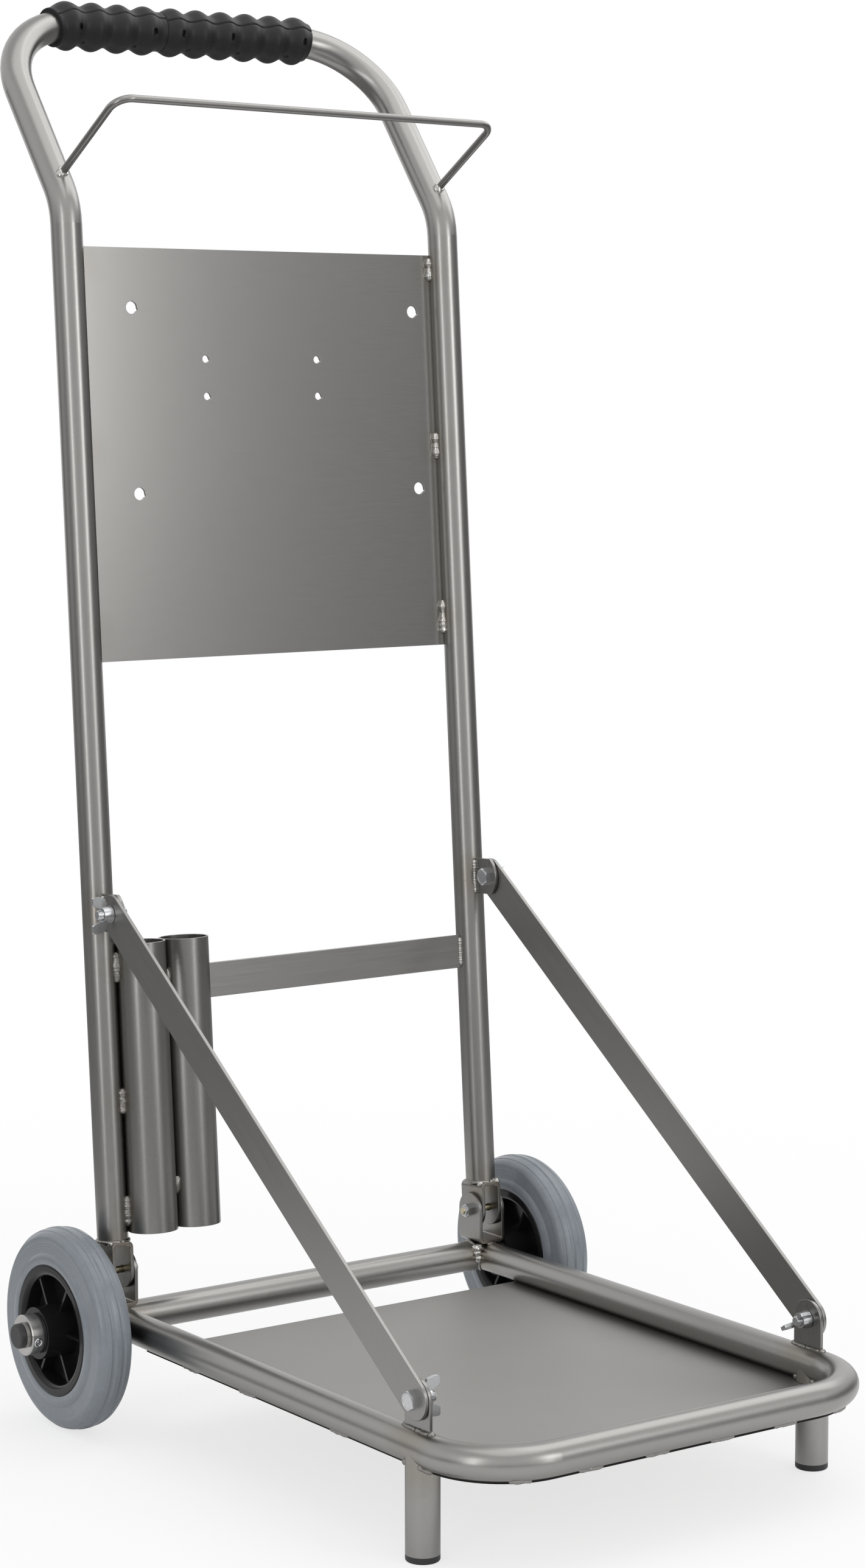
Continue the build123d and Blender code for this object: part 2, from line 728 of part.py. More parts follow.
for (side, sign), upper_turn, lower_turn in zip(sides, upper_wing_turns, lower_wing_turns):
    x = sign * side_x
    outward = Vector(sign, 0, 0)
    inward = Vector(-sign, 0, 0)

    # Upper lug: a round ended plate on the front of the upright
    with BuildPart() as upper_lug:
        with BuildSketch(upright_side(x)):
            nose_x = upper_pin_forward + lug_nose - lug_nose_r
            with Locations((nose_x, upper_pin_s)):
                Circle(lug_nose_r)
                Rectangle(2 * lug_nose_r, lug_w, mode=Mode.INTERSECT)
            with Locations((nose_x / 2, upper_pin_s)):
                Rectangle(nose_x, lug_w)
            with Locations((upper_pin_forward, upper_pin_s)):
                Circle(bolt_hole_r, mode=Mode.SUBTRACT)
        extrude(amount=lug_t / 2, both=True)
        upright_sweep(tube_r, Mode.SUBTRACT)
    save(upper_lug, f"upper_lug_{side}")

    # Strut: a flat bar with round ends on the outer sides of both lugs
    strut_mid = at_x((upper_pin + lower_pin) / 2, sign * strut_in_x)
    with BuildPart() as strut:
        with BuildSketch(Plane(origin=strut_mid, x_dir=strut_way, z_dir=outward)):
            SlotCenterToCenter(strut_length, strut_w)
            with Locations((-strut_length / 2, 0), (strut_length / 2, 0)):
                Circle(bolt_hole_r, mode=Mode.SUBTRACT)
        extrude(amount=strut_t)
    save(strut, f"strut_{side}")

    # Upper bolt: its head is inside the frame and its end carries the wing nut outside
    upper_head = at_x(upper_pin, x - sign * lug_t / 2)
    upper_nut = at_x(upper_pin, sign * (strut_out_x + nut_play))
    with BuildPart() as upper_bolt:
        hex_bar(upper_head, inward, head_af, head_h)
        round_bar(upper_head, upper_nut + outward * (wing_hub_h + bolt_proud), bolt_r)
    save(upper_bolt, f"upper_bolt_{side}")
    save(wing_nut(upper_nut, outward, upper_turn), f"upper_wing_nut_{side}")

    # Lower bolt: its head end stays in the strut and its threaded end in the lug
    lower_head = at_x(lower_pin, sign * strut_out_x)
    lower_nut = at_x(lower_pin, x - sign * (lug_t / 2 + nut_play))
    with BuildPart() as lower_bolt:
        hex_bar(lower_head, outward, head_af, head_h)
        round_bar(lower_head, lower_head + inward * strut_t, bolt_r)
    save(lower_bolt, f"lower_bolt_{side}")
    with BuildPart() as lower_bolt_tip:
        tip_from = at_x(lower_pin, x + sign * (lug_t / 2 - bolt_parting))
        round_bar(tip_from, lower_nut + inward * (wing_hub_h + bolt_proud), bolt_r)
    save(lower_bolt_tip, f"lower_bolt_tip_{side}")
    save(wing_nut(lower_nut, inward, lower_turn), f"lower_wing_nut_{side}")
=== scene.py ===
# %% [markdown]
# # A folding stainless steel trolley, dressed for a product photograph
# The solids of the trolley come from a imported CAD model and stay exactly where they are.
# This lesson adds what the solids lack: weld beads, screw threads, soft edges, grips with their mould
# lines, and a procedural finish for every surface. The camera comes first, and the light comes last.

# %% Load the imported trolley
import json
import math

import bmesh
import bpy
from mathutils import Matrix, Quaternion, Vector, noise


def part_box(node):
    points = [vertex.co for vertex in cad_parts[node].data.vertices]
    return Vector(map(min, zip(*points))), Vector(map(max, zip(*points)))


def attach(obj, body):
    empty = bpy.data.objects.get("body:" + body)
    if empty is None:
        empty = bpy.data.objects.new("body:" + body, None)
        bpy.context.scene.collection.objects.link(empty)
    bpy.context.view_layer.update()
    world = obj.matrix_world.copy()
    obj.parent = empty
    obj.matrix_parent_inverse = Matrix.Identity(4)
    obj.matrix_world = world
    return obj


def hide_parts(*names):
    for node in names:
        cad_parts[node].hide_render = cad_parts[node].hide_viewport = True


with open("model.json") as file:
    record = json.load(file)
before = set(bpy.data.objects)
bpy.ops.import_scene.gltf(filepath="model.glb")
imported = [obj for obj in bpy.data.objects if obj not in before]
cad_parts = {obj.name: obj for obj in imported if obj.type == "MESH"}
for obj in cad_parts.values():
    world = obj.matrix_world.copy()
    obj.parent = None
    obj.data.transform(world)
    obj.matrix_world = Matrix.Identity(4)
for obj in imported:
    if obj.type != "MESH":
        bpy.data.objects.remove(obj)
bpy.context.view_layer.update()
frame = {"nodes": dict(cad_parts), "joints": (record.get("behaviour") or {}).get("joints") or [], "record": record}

nodes = frame["nodes"]

# %% [markdown]
# ## Places on the trolley
# Every added piece sits on a solid, so its place is worked out from the frame and not typed in.
# The upright leans back, so most of its pieces are easiest to place by three numbers: how far across
# the trolley, how far up along the tubes from the hinge pin, and how far out of the tubes' middle plane.

# %% Read the main places from the frame
MM = 0.001
mounts = {mount["name"]: mount for mount in frame["record"]["mounts"]}
joints = {joint["name"]: joint for joint in frame["joints"]}
pin = Vector(joints["upright_fold"]["pos_m"])
along = Vector(mounts["lance_holder_outer"]["axis"]).normalized()
forward = Vector(mounts["large_holes_top"]["axis"]).normalized()
across = Vector((1, 0, 0))


def middle(node):
    """The middle of a node's box."""
    low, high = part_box(node)
    return (low + high) / 2


def extent(node):
    """The size of a node's box."""
    low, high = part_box(node)
    return high - low


tube_r = extent("axle_tube").z / 2
axle = middle("axle_tube")
side_x = middle("front_leg_right").x
sides = (("left", -1), ("right", 1))
signs = (-1, 1)


def on_upright(x, s, f):
    """A point of the leaning upright: across, along the tubes from the pin, and out to the front."""
    return Vector((x, pin.y, pin.z)) + along * s + forward * f


def upright_reading(point):
    """How far along the tubes and how far out to the front a point is."""
    away = Vector((0, point.y - pin.y, point.z - pin.z))
    return away.dot(along), away.dot(forward)


print(f"tube radius {tube_r * 1000:.1f} mm, frame half width {side_x * 1000:.1f} mm")

# %% [markdown]
# ## The camera
# The photograph was taken from the front left, from the height of the back plate. A camera could be moved
# by eye until the picture agrees, but one that is fitted to measured points comes closer. The fit gives the
# focal length in pixels. Blender wants millimetres on a sensor whose width belongs to the longer side of the
# image.

# %% Place the camera
IMAGE_W, IMAGE_H = 1421, 2576
FOCAL_PX = 5713.0
CENTRE_PX = (670.7, 1252.3)
CAMERA_PLACE = Vector((-1.55966, -2.34351, 0.81263))
CAMERA_AZIMUTH = math.radians(-35.393)
CAMERA_PITCH = -0.1055
CAMERA_ROLL = -0.001
SENSOR_MM = 36.0

camera_data = bpy.data.cameras.new("camera")
camera = bpy.data.objects.new("camera", camera_data)
bpy.context.scene.collection.objects.link(camera)
bpy.context.scene.camera = camera
camera_data.sensor_width = SENSOR_MM
camera_data.lens = FOCAL_PX * SENSOR_MM / IMAGE_H
camera_data.shift_x = (IMAGE_W / 2 - CENTRE_PX[0]) / IMAGE_H
camera_data.shift_y = (CENTRE_PX[1] - IMAGE_H / 2) / IMAGE_H
camera_data.clip_end = 100.0

looking = Vector((
    -math.sin(CAMERA_AZIMUTH) * math.cos(CAMERA_PITCH),
    math.cos(CAMERA_AZIMUTH) * math.cos(CAMERA_PITCH),
    math.sin(CAMERA_PITCH),
))
camera.rotation_mode = "QUATERNION"
camera.rotation_quaternion = looking.to_track_quat("-Z", "Y") @ Quaternion((0, 0, 1), CAMERA_ROLL)
camera.location = CAMERA_PLACE + Vector((0, axle.y, 0))
shift = round(camera_data.shift_x, 4), round(camera_data.shift_y, 4)
print("lens", round(camera_data.lens, 1), "mm, shift", *shift)

# %% [markdown]
# ## Node helpers
# A material is a small network. Helpers keep the code short: one adds a node and sets its inputs, one
# feeds an input from a socket or a plain value, and one fades from a number to another. An effect that
# several finishes share becomes a node group.

# %% Helpers for node networks
def add_node(tree, kind, settings=None, **inputs):
    """Adds a node, sets its own settings and the values of its inputs (spaces written as _)."""
    made = tree.nodes.new(kind)
    for name, value in (settings or {}).items():
        setattr(made, name, value)
    for name, value in inputs.items():
        made.inputs[name.replace("_", " ")].default_value = value
    return made


def feed(tree, value, socket):
    """Links a socket to an input, or sets the input to a plain value."""
    if isinstance(value, bpy.types.NodeSocket):
        tree.links.new(value, socket)
    else:
        socket.default_value = value


def math_node(tree, operation, *values):
    """Adds a math node; each value is a number or the socket that feeds it."""
    made = tree.nodes.new("ShaderNodeMath")
    made.operation = operation
    for socket, value in zip(made.inputs, values):
        feed(tree, value, socket)
    return made.outputs[0]


def fade(tree, value, near, far, at_near, at_far):
    """A smooth change from one number to another over a stretch."""
    made = add_node(tree, "ShaderNodeMapRange", {"interpolation_type": "SMOOTHSTEP"})
    feed(tree, value, made.inputs["Value"])
    for socket, number in zip(made.inputs[1:5], (near, far, at_near, at_far)):
        socket.default_value = number
    return made.outputs[0]


def new_group(name, inputs, outputs):
    """A shader node group with named sockets; returns its tree with its input and output nodes."""
    tree = bpy.data.node_groups.new(name, "ShaderNodeTree")
    for label, kind, value in inputs:
        socket = tree.interface.new_socket(label, in_out="INPUT", socket_type=kind)
        socket.default_value = value
    for label, kind in outputs:
        tree.interface.new_socket(label, in_out="OUTPUT", socket_type=kind)
    return tree, tree.nodes.new("NodeGroupInput"), tree.nodes.new("NodeGroupOutput")


def place_group(tree, group, **inputs):
    """Puts a group into a material; each input is a number, a vector or a socket."""
    made = tree.nodes.new("ShaderNodeGroup")
    made.node_tree = group
    for name, value in inputs.items():
        feed(tree, value, made.inputs[name.replace("_", " ")])
    return made


def new_material(name):
    """A fresh material with its Principled shader and the object's own coordinates."""
    made = bpy.data.materials.new(name)
    made.use_nodes = True
    shader = made.node_tree.nodes["Principled BSDF"]
    coordinates = made.node_tree.nodes.new("ShaderNodeTexCoord").outputs["Object"]
    return made, made.node_tree, shader, coordinates


def mix_colour(tree, factor, first, second):
    """Blends two colours by a factor."""
    made = tree.nodes.new("ShaderNodeMix")
    made.data_type = "RGBA"
    feed(tree, factor, made.inputs["Factor"])
    feed(tree, first, made.inputs[6])
    feed(tree, second, made.inputs[7])
    return made.outputs[2]


def grey(level):
    """A colour without hue."""
    return (level, level, level, 1)


# %% [markdown]
# ## Shared effects
# Rolled and ground steel is never even: fine scratches run one way, and slow cloudy patches lie under
# them. A painted image could show both, but it would have to be unwrapped and would blur close up. Noise
# stays sharp on every form, so the grain group gives them from one stretched noise and one plain noise.
# Heat from a weld leaves a straw coloured halo, so a second group gives a soft spot round a point. A third
# group gives the dust that settles on rubber and plastic.

# %% Build the node groups
HEAT_RAGGED = 0.5
HEAT_CORE = 0.2
DUST_LEAST, DUST_FACING = 0.5, 0.35


def make_grain_group():
    """Fine scratches along one direction, and slow cloudy patches."""
    tree, entry, leave = new_group(
        "steel_grain",
        [
            ("Coordinates", "NodeSocketVector", (0, 0, 0)),
            ("Stretch", "NodeSocketVector", (1, 1, 1)),
            ("Cloud Scale", "NodeSocketFloat", 9.0),
        ],
        [("Grain", "NodeSocketFloat"), ("Cloud", "NodeSocketFloat")],
    )
    stretch = add_node(tree, "ShaderNodeVectorMath", {"operation": "MULTIPLY"})
    tree.links.new(entry.outputs["Coordinates"], stretch.inputs[0])
    tree.links.new(entry.outputs["Stretch"], stretch.inputs[1])
    scratches = add_node(tree, "ShaderNodeTexNoise", Scale=1.0, Detail=4.0, Roughness=0.65)
    tree.links.new(stretch.outputs[0], scratches.inputs["Vector"])
    cloud = add_node(tree, "ShaderNodeTexNoise", Detail=3.0, Roughness=0.5)
    tree.links.new(entry.outputs["Coordinates"], cloud.inputs["Vector"])
    tree.links.new(entry.outputs["Cloud Scale"], cloud.inputs["Scale"])
    tree.links.new(scratches.outputs["Fac"], leave.inputs["Grain"])
    tree.links.new(cloud.outputs["Fac"], leave.inputs["Cloud"])
    return tree


def make_heat_group():
    """A soft spot of heat round a point, with an uneven edge."""
    tree, entry, leave = new_group(
        "weld_heat",
        [
            ("Coordinates", "NodeSocketVector", (0, 0, 0)),
            ("Centre", "NodeSocketVector", (0, 0, 0)),
            ("Reach", "NodeSocketFloat", 0.02),
            ("Other Heat", "NodeSocketFloat", 0.0),
        ],
        [("Heat", "NodeSocketFloat")],
    )
    away = add_node(tree, "ShaderNodeVectorMath", {"operation": "DISTANCE"})
    tree.links.new(entry.outputs["Coordinates"], away.inputs[0])
    tree.links.new(entry.outputs["Centre"], away.inputs[1])
    share = math_node(tree, "DIVIDE", away.outputs["Value"], entry.outputs["Reach"])
    ragged = add_node(tree, "ShaderNodeTexNoise", Scale=160.0, Detail=2.0)
    tree.links.new(entry.outputs["Coordinates"], ragged.inputs["Vector"])
    uneven = math_node(tree, "MULTIPLY_ADD", ragged.outputs["Fac"], HEAT_RAGGED, -HEAT_RAGGED / 2)
    share = math_node(tree, "ADD", share, uneven)
    spot = fade(tree, share, HEAT_CORE, 1.0, 1.0, 0.0)
    tree.links.new(math_node(tree, "MAXIMUM", spot, entry.outputs["Other Heat"]), leave.inputs["Heat"])
    return tree


def make_dust_group():
    """Pale dust on what faces up, broken into patches."""
    tree, entry, leave = new_group(
        "settled_dust",
        [("Coordinates", "NodeSocketVector", (0, 0, 0)), ("Amount", "NodeSocketFloat", 0.3)],
        [("Dust", "NodeSocketFloat")],
    )
    patches = add_node(tree, "ShaderNodeTexNoise", Scale=70.0, Detail=5.0, Roughness=0.7)
    tree.links.new(entry.outputs["Coordinates"], patches.inputs["Vector"])
    facing = add_node(tree, "ShaderNodeSeparateXYZ")
    tree.links.new(tree.nodes.new("ShaderNodeNewGeometry").outputs["Normal"], facing.inputs[0])
    lying = math_node(tree, "MULTIPLY_ADD", facing.outputs["Z"], DUST_FACING, DUST_LEAST)
    shown = math_node(tree, "MULTIPLY", math_node(tree, "POWER", patches.outputs["Fac"], 2.0), lying)
    tree.links.new(math_node(tree, "MULTIPLY", shown, entry.outputs["Amount"]), leave.inputs["Dust"])
    return tree


steel_grain = make_grain_group()
weld_heat = make_heat_group()
settled_dust = make_dust_group()
print("node groups:", [group.name for group in bpy.data.node_groups])

# %% [markdown]
# ## Where the welds are
# The frame is welded by hand. Each weld is needed twice: as a bead of metal, and as a patch of heat on
# the steel round it. So the places are listed once, by the piece that they join, before both are made.

# %% List the weld places
PLATE_WELD_S = (0.5065, 0.651, 0.799)
HOLDER_WELD_S = (0.0475, 0.135, 0.2415)
BETWEEN_HOLDERS_S = (0.0645, 0.2305)
plate_s, plate_f = upright_reading(middle("back_plate"))
lug_s, _ = upright_reading(middle("upper_lug_left"))
foot_s, _ = upright_reading(Vector((0, *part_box("upright_frame")[0].yz)))
strut_top = middle("upper_bolt_left")
strut_foot = middle("lower_bolt_tip_left")
lug_y = middle("lower_lug_left").y
leg_y = middle("front_leg_left").y

print(f"plate at {plate_s:.3f} m along the tubes and {plate_f * 1000:.1f} mm behind their middle")

# %% [markdown]
# ## Steel finishes
# All the steel is one metal, but each form was worked another way. Sheet keeps straight scratches from
# the mill, flat bar has them lengthwise, and tube is polished nearly smooth. Parts from a lathe have fine
# rings. The cut edges of the platform lie in shadow under the rail, so they get painted shade, nearly black.
# Each steel could be written out in full, but they would drift apart. So one function builds them all from
# the shared groups, with the direction of the scratches and the places of the welds. Scratches too fine for
# relief still stretch the highlights across them, as brushed metal shows, and anisotropy does that.

# %% Make a steel finish
STEEL_LIGHT = (0.375, 0.370, 0.358)
STEEL_DARK = (0.285, 0.280, 0.270)
HEAT_STRAW = (0.255, 0.205, 0.145, 1)
# The near black below is painted shade for the platform's cut edges, which lie in shadow under the rail.
CUT_EDGE_SHADE = (0.022, 0.021, 0.020, 1)
SHADED_EDGE_FACING = (0.3, 0.7)
GRAIN_SHARE, CLOUD_SHARE, CLOUD_SCALE = 0.6, 0.4, 7.0
ROUGH_SWING = 0.14
SCRATCH_DEPTH = 0.0002
BRUSHED = 0.5
LATHE_BRUSHED = 0.7
QUARTER_TURN = 0.25


def steel(name, stretch, roughness, bump, heat_spots=(), heat_share=0.35, across_grain=None, tint=1.0,
          spin=None, uneven=1.0):
    """Satin steel with scratches and clouds, and straw coloured heat round its welds."""
    made, tree, shader, coordinates = new_material(name)
    grain_from = coordinates
    if spin is not None:
        spun = add_node(tree, "ShaderNodeVectorRotate", {"rotation_type": "X_AXIS"}, Angle=spin)
        tree.links.new(coordinates, spun.inputs["Vector"])
        grain_from = spun.outputs[0]
    grain = place_group(tree, steel_grain, Coordinates=grain_from, Stretch=stretch, Cloud_Scale=CLOUD_SCALE)
    clouds = math_node(tree, "MULTIPLY", grain.outputs["Cloud"], CLOUD_SHARE)
    worn = math_node(tree, "MULTIPLY_ADD", grain.outputs["Grain"], GRAIN_SHARE, clouds)
    worn = math_node(tree, "MULTIPLY_ADD", worn, uneven, 0.5 - 0.5 * uneven)
    dark, light = (tuple(value * tint for value in shade) + (1,) for shade in (STEEL_DARK, STEEL_LIGHT))
    colour = mix_colour(tree, worn, dark, light)
    heat = 0.0
    for centre, reach in heat_spots:
        spot = place_group(
            tree, weld_heat, Coordinates=coordinates, Centre=centre, Reach=reach, Other_Heat=heat,
        )
        heat = spot.outputs["Heat"]
    if heat_spots:
        colour = mix_colour(tree, math_node(tree, "MULTIPLY", heat, heat_share), colour, HEAT_STRAW)
    tree.links.new(colour, shader.inputs["Base Color"])
    swing = ROUGH_SWING * uneven
    rough = math_node(tree, "MULTIPLY_ADD", grain.outputs["Grain"], swing, roughness - swing / 2)
    tree.links.new(rough, shader.inputs["Roughness"])
    shader.inputs["Metallic"].default_value = 1.0
    relief = add_node(tree, "ShaderNodeBump", Strength=bump, Distance=SCRATCH_DEPTH)
    tree.links.new(grain.outputs["Grain"], relief.inputs["Height"])
    tree.links.new(relief.outputs[0], shader.inputs["Normal"])
    if across_grain is not None:
        shader.inputs["Anisotropic"].default_value = BRUSHED
        direction = add_node(
            tree, "ShaderNodeVectorTransform",
            {"vector_type": "VECTOR", "convert_from": "OBJECT", "convert_to": "WORLD"}, Vector=across_grain,
        )
        tree.links.new(direction.outputs[0], shader.inputs["Tangent"])
    return made


def paint_cut_edge_shade(finish):
    """Darkens the upright faces of a lying sheet with painted shade, as its cut edges lie in shadow under the
    rail.
    """
    tree = finish.node_tree
    base = tree.nodes["Principled BSDF"].inputs["Base Color"]
    facing = add_node(tree, "ShaderNodeSeparateXYZ")
    tree.links.new(tree.nodes.new("ShaderNodeNewGeometry").outputs["Normal"], facing.inputs[0])
    upright = fade(tree, math_node(tree, "ABSOLUTE", facing.outputs["Z"]), *SHADED_EDGE_FACING, 1.0, 0.0)
    tree.links.new(mix_colour(tree, upright, base.links[0].from_socket, CUT_EDGE_SHADE), base)


def brush_round(finish):
    """Gives a finish the fine rings of a lathe: its highlights spread across them."""
    tree = finish.node_tree
    shader = tree.nodes["Principled BSDF"]
    shader.inputs["Anisotropic"].default_value = LATHE_BRUSHED
    shader.inputs["Anisotropic Rotation"].default_value = QUARTER_TURN
    around = add_node(tree, "ShaderNodeTangent", {"direction_type": "RADIAL", "axis": "X"})
    tree.links.new(around.outputs[0], shader.inputs["Tangent"])


print("steel between", STEEL_DARK, "and", STEEL_LIGHT)

# %% [markdown]
# ## Heat and the list of steels
# Every weld tints the steel on both sides of it, so a tube, the sheet and a bracket each get their own
# list of spots. A spot is a point and how far its heat reaches. The tint could be painted on each mesh by
# hand, but a spot that is worked out from its weld moves along with it.

# %% Make the steel finishes
HEAT_REACH = {
    "plate": 0.024, "sheet": 0.026, "upper_lug": 0.030, "foot": 0.026, "holder": 0.022,
    "rail_end": 0.034, "lower_lug": 0.034, "leg": 0.030, "base": 0.022, "bracket": 0.024,
}
PLATE_HEAT_IN, SHEET_HEAT_IN = 0.009, 0.012
TUBE_BY_HOLDER, HOLDER_BY_TUBE = (0.011, 0.006), (0.013, 0.007)
RAIL_END_IN, RAIL_END_FRONT = 0.008, 0.014
BASE_HEAT_FRONT, BRACKET_HEAT_FRONT = 0.012, 0.008


def heat_round(kind, points):
    """Spots of heat round the welds of one kind."""
    return [(point, HEAT_REACH[kind]) for point in points]


def on_both_uprights(s, f):
    """The same point on the left and on the right tube of the upright."""
    return [on_upright(sign * side_x, s, f) for sign in signs]


def on_both_rails(y, z, inward=0.0):
    """The same point on the left and on the right side of the platform."""
    return [Vector((sign * (side_x - inward), y, z)) for sign in signs]


def plate_weld_points(inward):
    """The middles of the plate's welds, this far in from the middles of the tubes."""
    return [on_upright(sign * (side_x - inward), s, plate_f) for sign in signs for s in PLATE_WELD_S]


def holder_weld_points(right, front):
    """The middles of the holders' welds, this far from the middle of the left tube."""
    return [on_upright(right - side_x, s, front) for s in HOLDER_WELD_S]


tube_heat = (
    heat_round("plate", plate_weld_points(PLATE_HEAT_IN))
    + heat_round("upper_lug", on_both_uprights(lug_s, tube_r))
    + heat_round("foot", on_both_uprights(foot_s, tube_r * 0.5))
    + heat_round("holder", holder_weld_points(*TUBE_BY_HOLDER))
)
rail_heat = (
    heat_round("rail_end", on_both_rails(axle.y - RAIL_END_FRONT, axle.z, RAIL_END_IN))
    + heat_round("lower_lug", on_both_rails(lug_y, axle.z + tube_r))
    + heat_round("leg", on_both_rails(leg_y, axle.z - tube_r))
)
sheet_heat = heat_round("sheet", plate_weld_points(SHEET_HEAT_IN))
holder_heat = heat_round("holder", holder_weld_points(*HOLDER_BY_TUBE))
hinge_heat = (
    heat_round("base", on_both_rails(axle.y - BASE_HEAT_FRONT, axle.z + tube_r))
    + heat_round("bracket", on_both_uprights(foot_s, BRACKET_HEAT_FRONT))
)
strut_slope = math.atan2(strut_foot.z - strut_top.z, strut_foot.y - strut_top.y)

steel_tube = steel("steel_tube", (260, 260, 90), 0.30, 0.02, tube_heat, uneven=0.5)
steel_hook = steel("steel_hook", (90, 260, 260), 0.30, 0.02, uneven=0.5, tint=0.9)
steel_rail = steel("steel_rail", (260, 260, 260), 0.32, 0.02, rail_heat, uneven=0.5)
steel_sheet = steel("steel_sheet", (60, 1300, 1300), 0.25, 0.02, sheet_heat, heat_share=0.15,
                    across_grain=along, uneven=0.45)
steel_platform = steel("steel_platform", (60, 1300, 1300), 0.52, 0.05, across_grain=(0, 1, 0))
steel_strut = steel("steel_strut", (800, 14, 800), 0.34, 0.10, spin=-strut_slope, tint=0.92)
steel_bar = steel("steel_bar", (14, 800, 800), 0.34, 0.10, across_grain=along)
steel_holder = steel("steel_holder", (500, 500, 1400), 0.30, 0.10, holder_heat, tint=0.86)
steel_hinge = steel("steel_hinge", (500, 500, 60), 0.30, 0.06, hinge_heat, heat_share=0.5, tint=0.85,
                    uneven=1.6)
steel_turned = steel("steel_turned", (1500, 20, 20), 0.24, 0.03, tint=1.35)
# Painted shade: the platform's upright cut edges are coloured nearly black, as they lie in shadow under the rail.
paint_cut_edge_shade(steel_platform)
brush_round(steel_turned)
print("steel finishes:", len([m for m in bpy.data.materials if m.name.startswith("steel")]))

# %% [markdown]
# ## Weld metal and zinc
# A drop that cooled in the open is the brightest metal on the trolley: smooth and a little stained. Long
# seams are duller, nearly as grey as the steel round them, so they have a finish of their own. Bolts and
# nuts are zinc plated, which is paler and bluer than steel, and the hinge bolts have the yellow
# passivation that old hardware often has. None of these has scratches in one direction. The grain group
# serves all the same: stretched evenly, its scratches turn into small pits.

# %% Make the weld and zinc finishes
PLATED_SWING = 0.2
PIT_DEPTH = 0.0003


def plated(name, bright, dull, roughness, scale, bump):
    """A bright metal skin with cloudy stains and small pits."""
    made, tree, shader, coordinates = new_material(name)
    stains = place_group(
        tree, steel_grain, Coordinates=coordinates, Stretch=(scale, scale, scale), Cloud_Scale=scale / 3,
    )
    tree.links.new(mix_colour(tree, stains.outputs["Cloud"], dull, bright), shader.inputs["Base Color"])
    smoothest = roughness - PLATED_SWING / 2
    rough = math_node(tree, "MULTIPLY_ADD", stains.outputs["Cloud"], PLATED_SWING, smoothest)
    tree.links.new(rough, shader.inputs["Roughness"])
    shader.inputs["Metallic"].default_value = 1.0
    relief = add_node(tree, "ShaderNodeBump", Strength=bump, Distance=PIT_DEPTH)
    tree.links.new(stains.outputs["Grain"], relief.inputs["Height"])
    tree.links.new(relief.outputs[0], shader.inputs["Normal"])
    return made


weld_metal = plated("weld_metal", (0.68, 0.67, 0.65, 1), (0.42, 0.40, 0.37, 1), 0.24, 420.0, 0.08)
weld_seam = plated("weld_seam", (0.33, 0.32, 0.305, 1), (0.225, 0.215, 0.20, 1), 0.34, 420.0, 0.06)
zinc = plated("zinc", (0.66, 0.67, 0.68, 1), (0.48, 0.49, 0.50, 1), 0.26, 300.0, 0.08)
yellow_zinc = plated("yellow_zinc", (0.62, 0.56, 0.40, 1), (0.44, 0.39, 0.27, 1), 0.30, 300.0, 0.10)
print("bright metals:", [made.name for made in (weld_metal, weld_seam, zinc, yellow_zinc)])

# %% [markdown]
# ## Rubber and plastic
# The tyres are a blue grey rubber whose mould was turned on a lathe, so fine rings run round their sides.
# Rings that fine would cost very many faces as a mesh, so they are relief in the finish, read from the
# distance to the wheel's axle and on the flat wall only. The grips are matt and nearly black, and the rims,
# caps and plugs are moulded plastic with a little shine. Settled dust greys all three.

# %% Make the rubber and plastic finishes
RING_PITCH, RING_HEIGHT = 0.0021, 1.2
TEXTURE_HEIGHT = 0.5
MOULD_DEPTH = 0.0003
DEEP_SHADE = 0.82
DUST_GAIN, DUST_LIFT, DUST_ROUGH = 1.9, 0.05, 0.3
WALL_FROM_RIM, WALL_TO_TREAD = 0.010, 0.006


def lathe_rings(tree, coordinates, inner, outer):
    """Fine waves round the axle, and where they show: between two distances from it."""
    from_axle = add_node(tree, "ShaderNodeVectorMath", {"operation": "SUBTRACT"})
    tree.links.new(coordinates, from_axle.inputs[0])
    from_axle.inputs[1].default_value = axle
    radial = add_node(tree, "ShaderNodeVectorMath", {"operation": "MULTIPLY"})
    tree.links.new(from_axle.outputs[0], radial.inputs[0])
    radial.inputs[1].default_value = (0, 1, 1)
    reach = add_node(tree, "ShaderNodeVectorMath", {"operation": "LENGTH"})
    tree.links.new(radial.outputs[0], reach.inputs[0])
    away = reach.outputs["Value"]
    waves = math_node(tree, "SINE", math_node(tree, "MULTIPLY", away, 2 * math.pi / RING_PITCH))
    begun = fade(tree, away, inner, inner + RING_PITCH, 0.0, 1.0)
    not_ended = fade(tree, away, outer - RING_PITCH, outer, 1.0, 0.0)
    return waves, math_node(tree, "MULTIPLY", begun, not_ended)


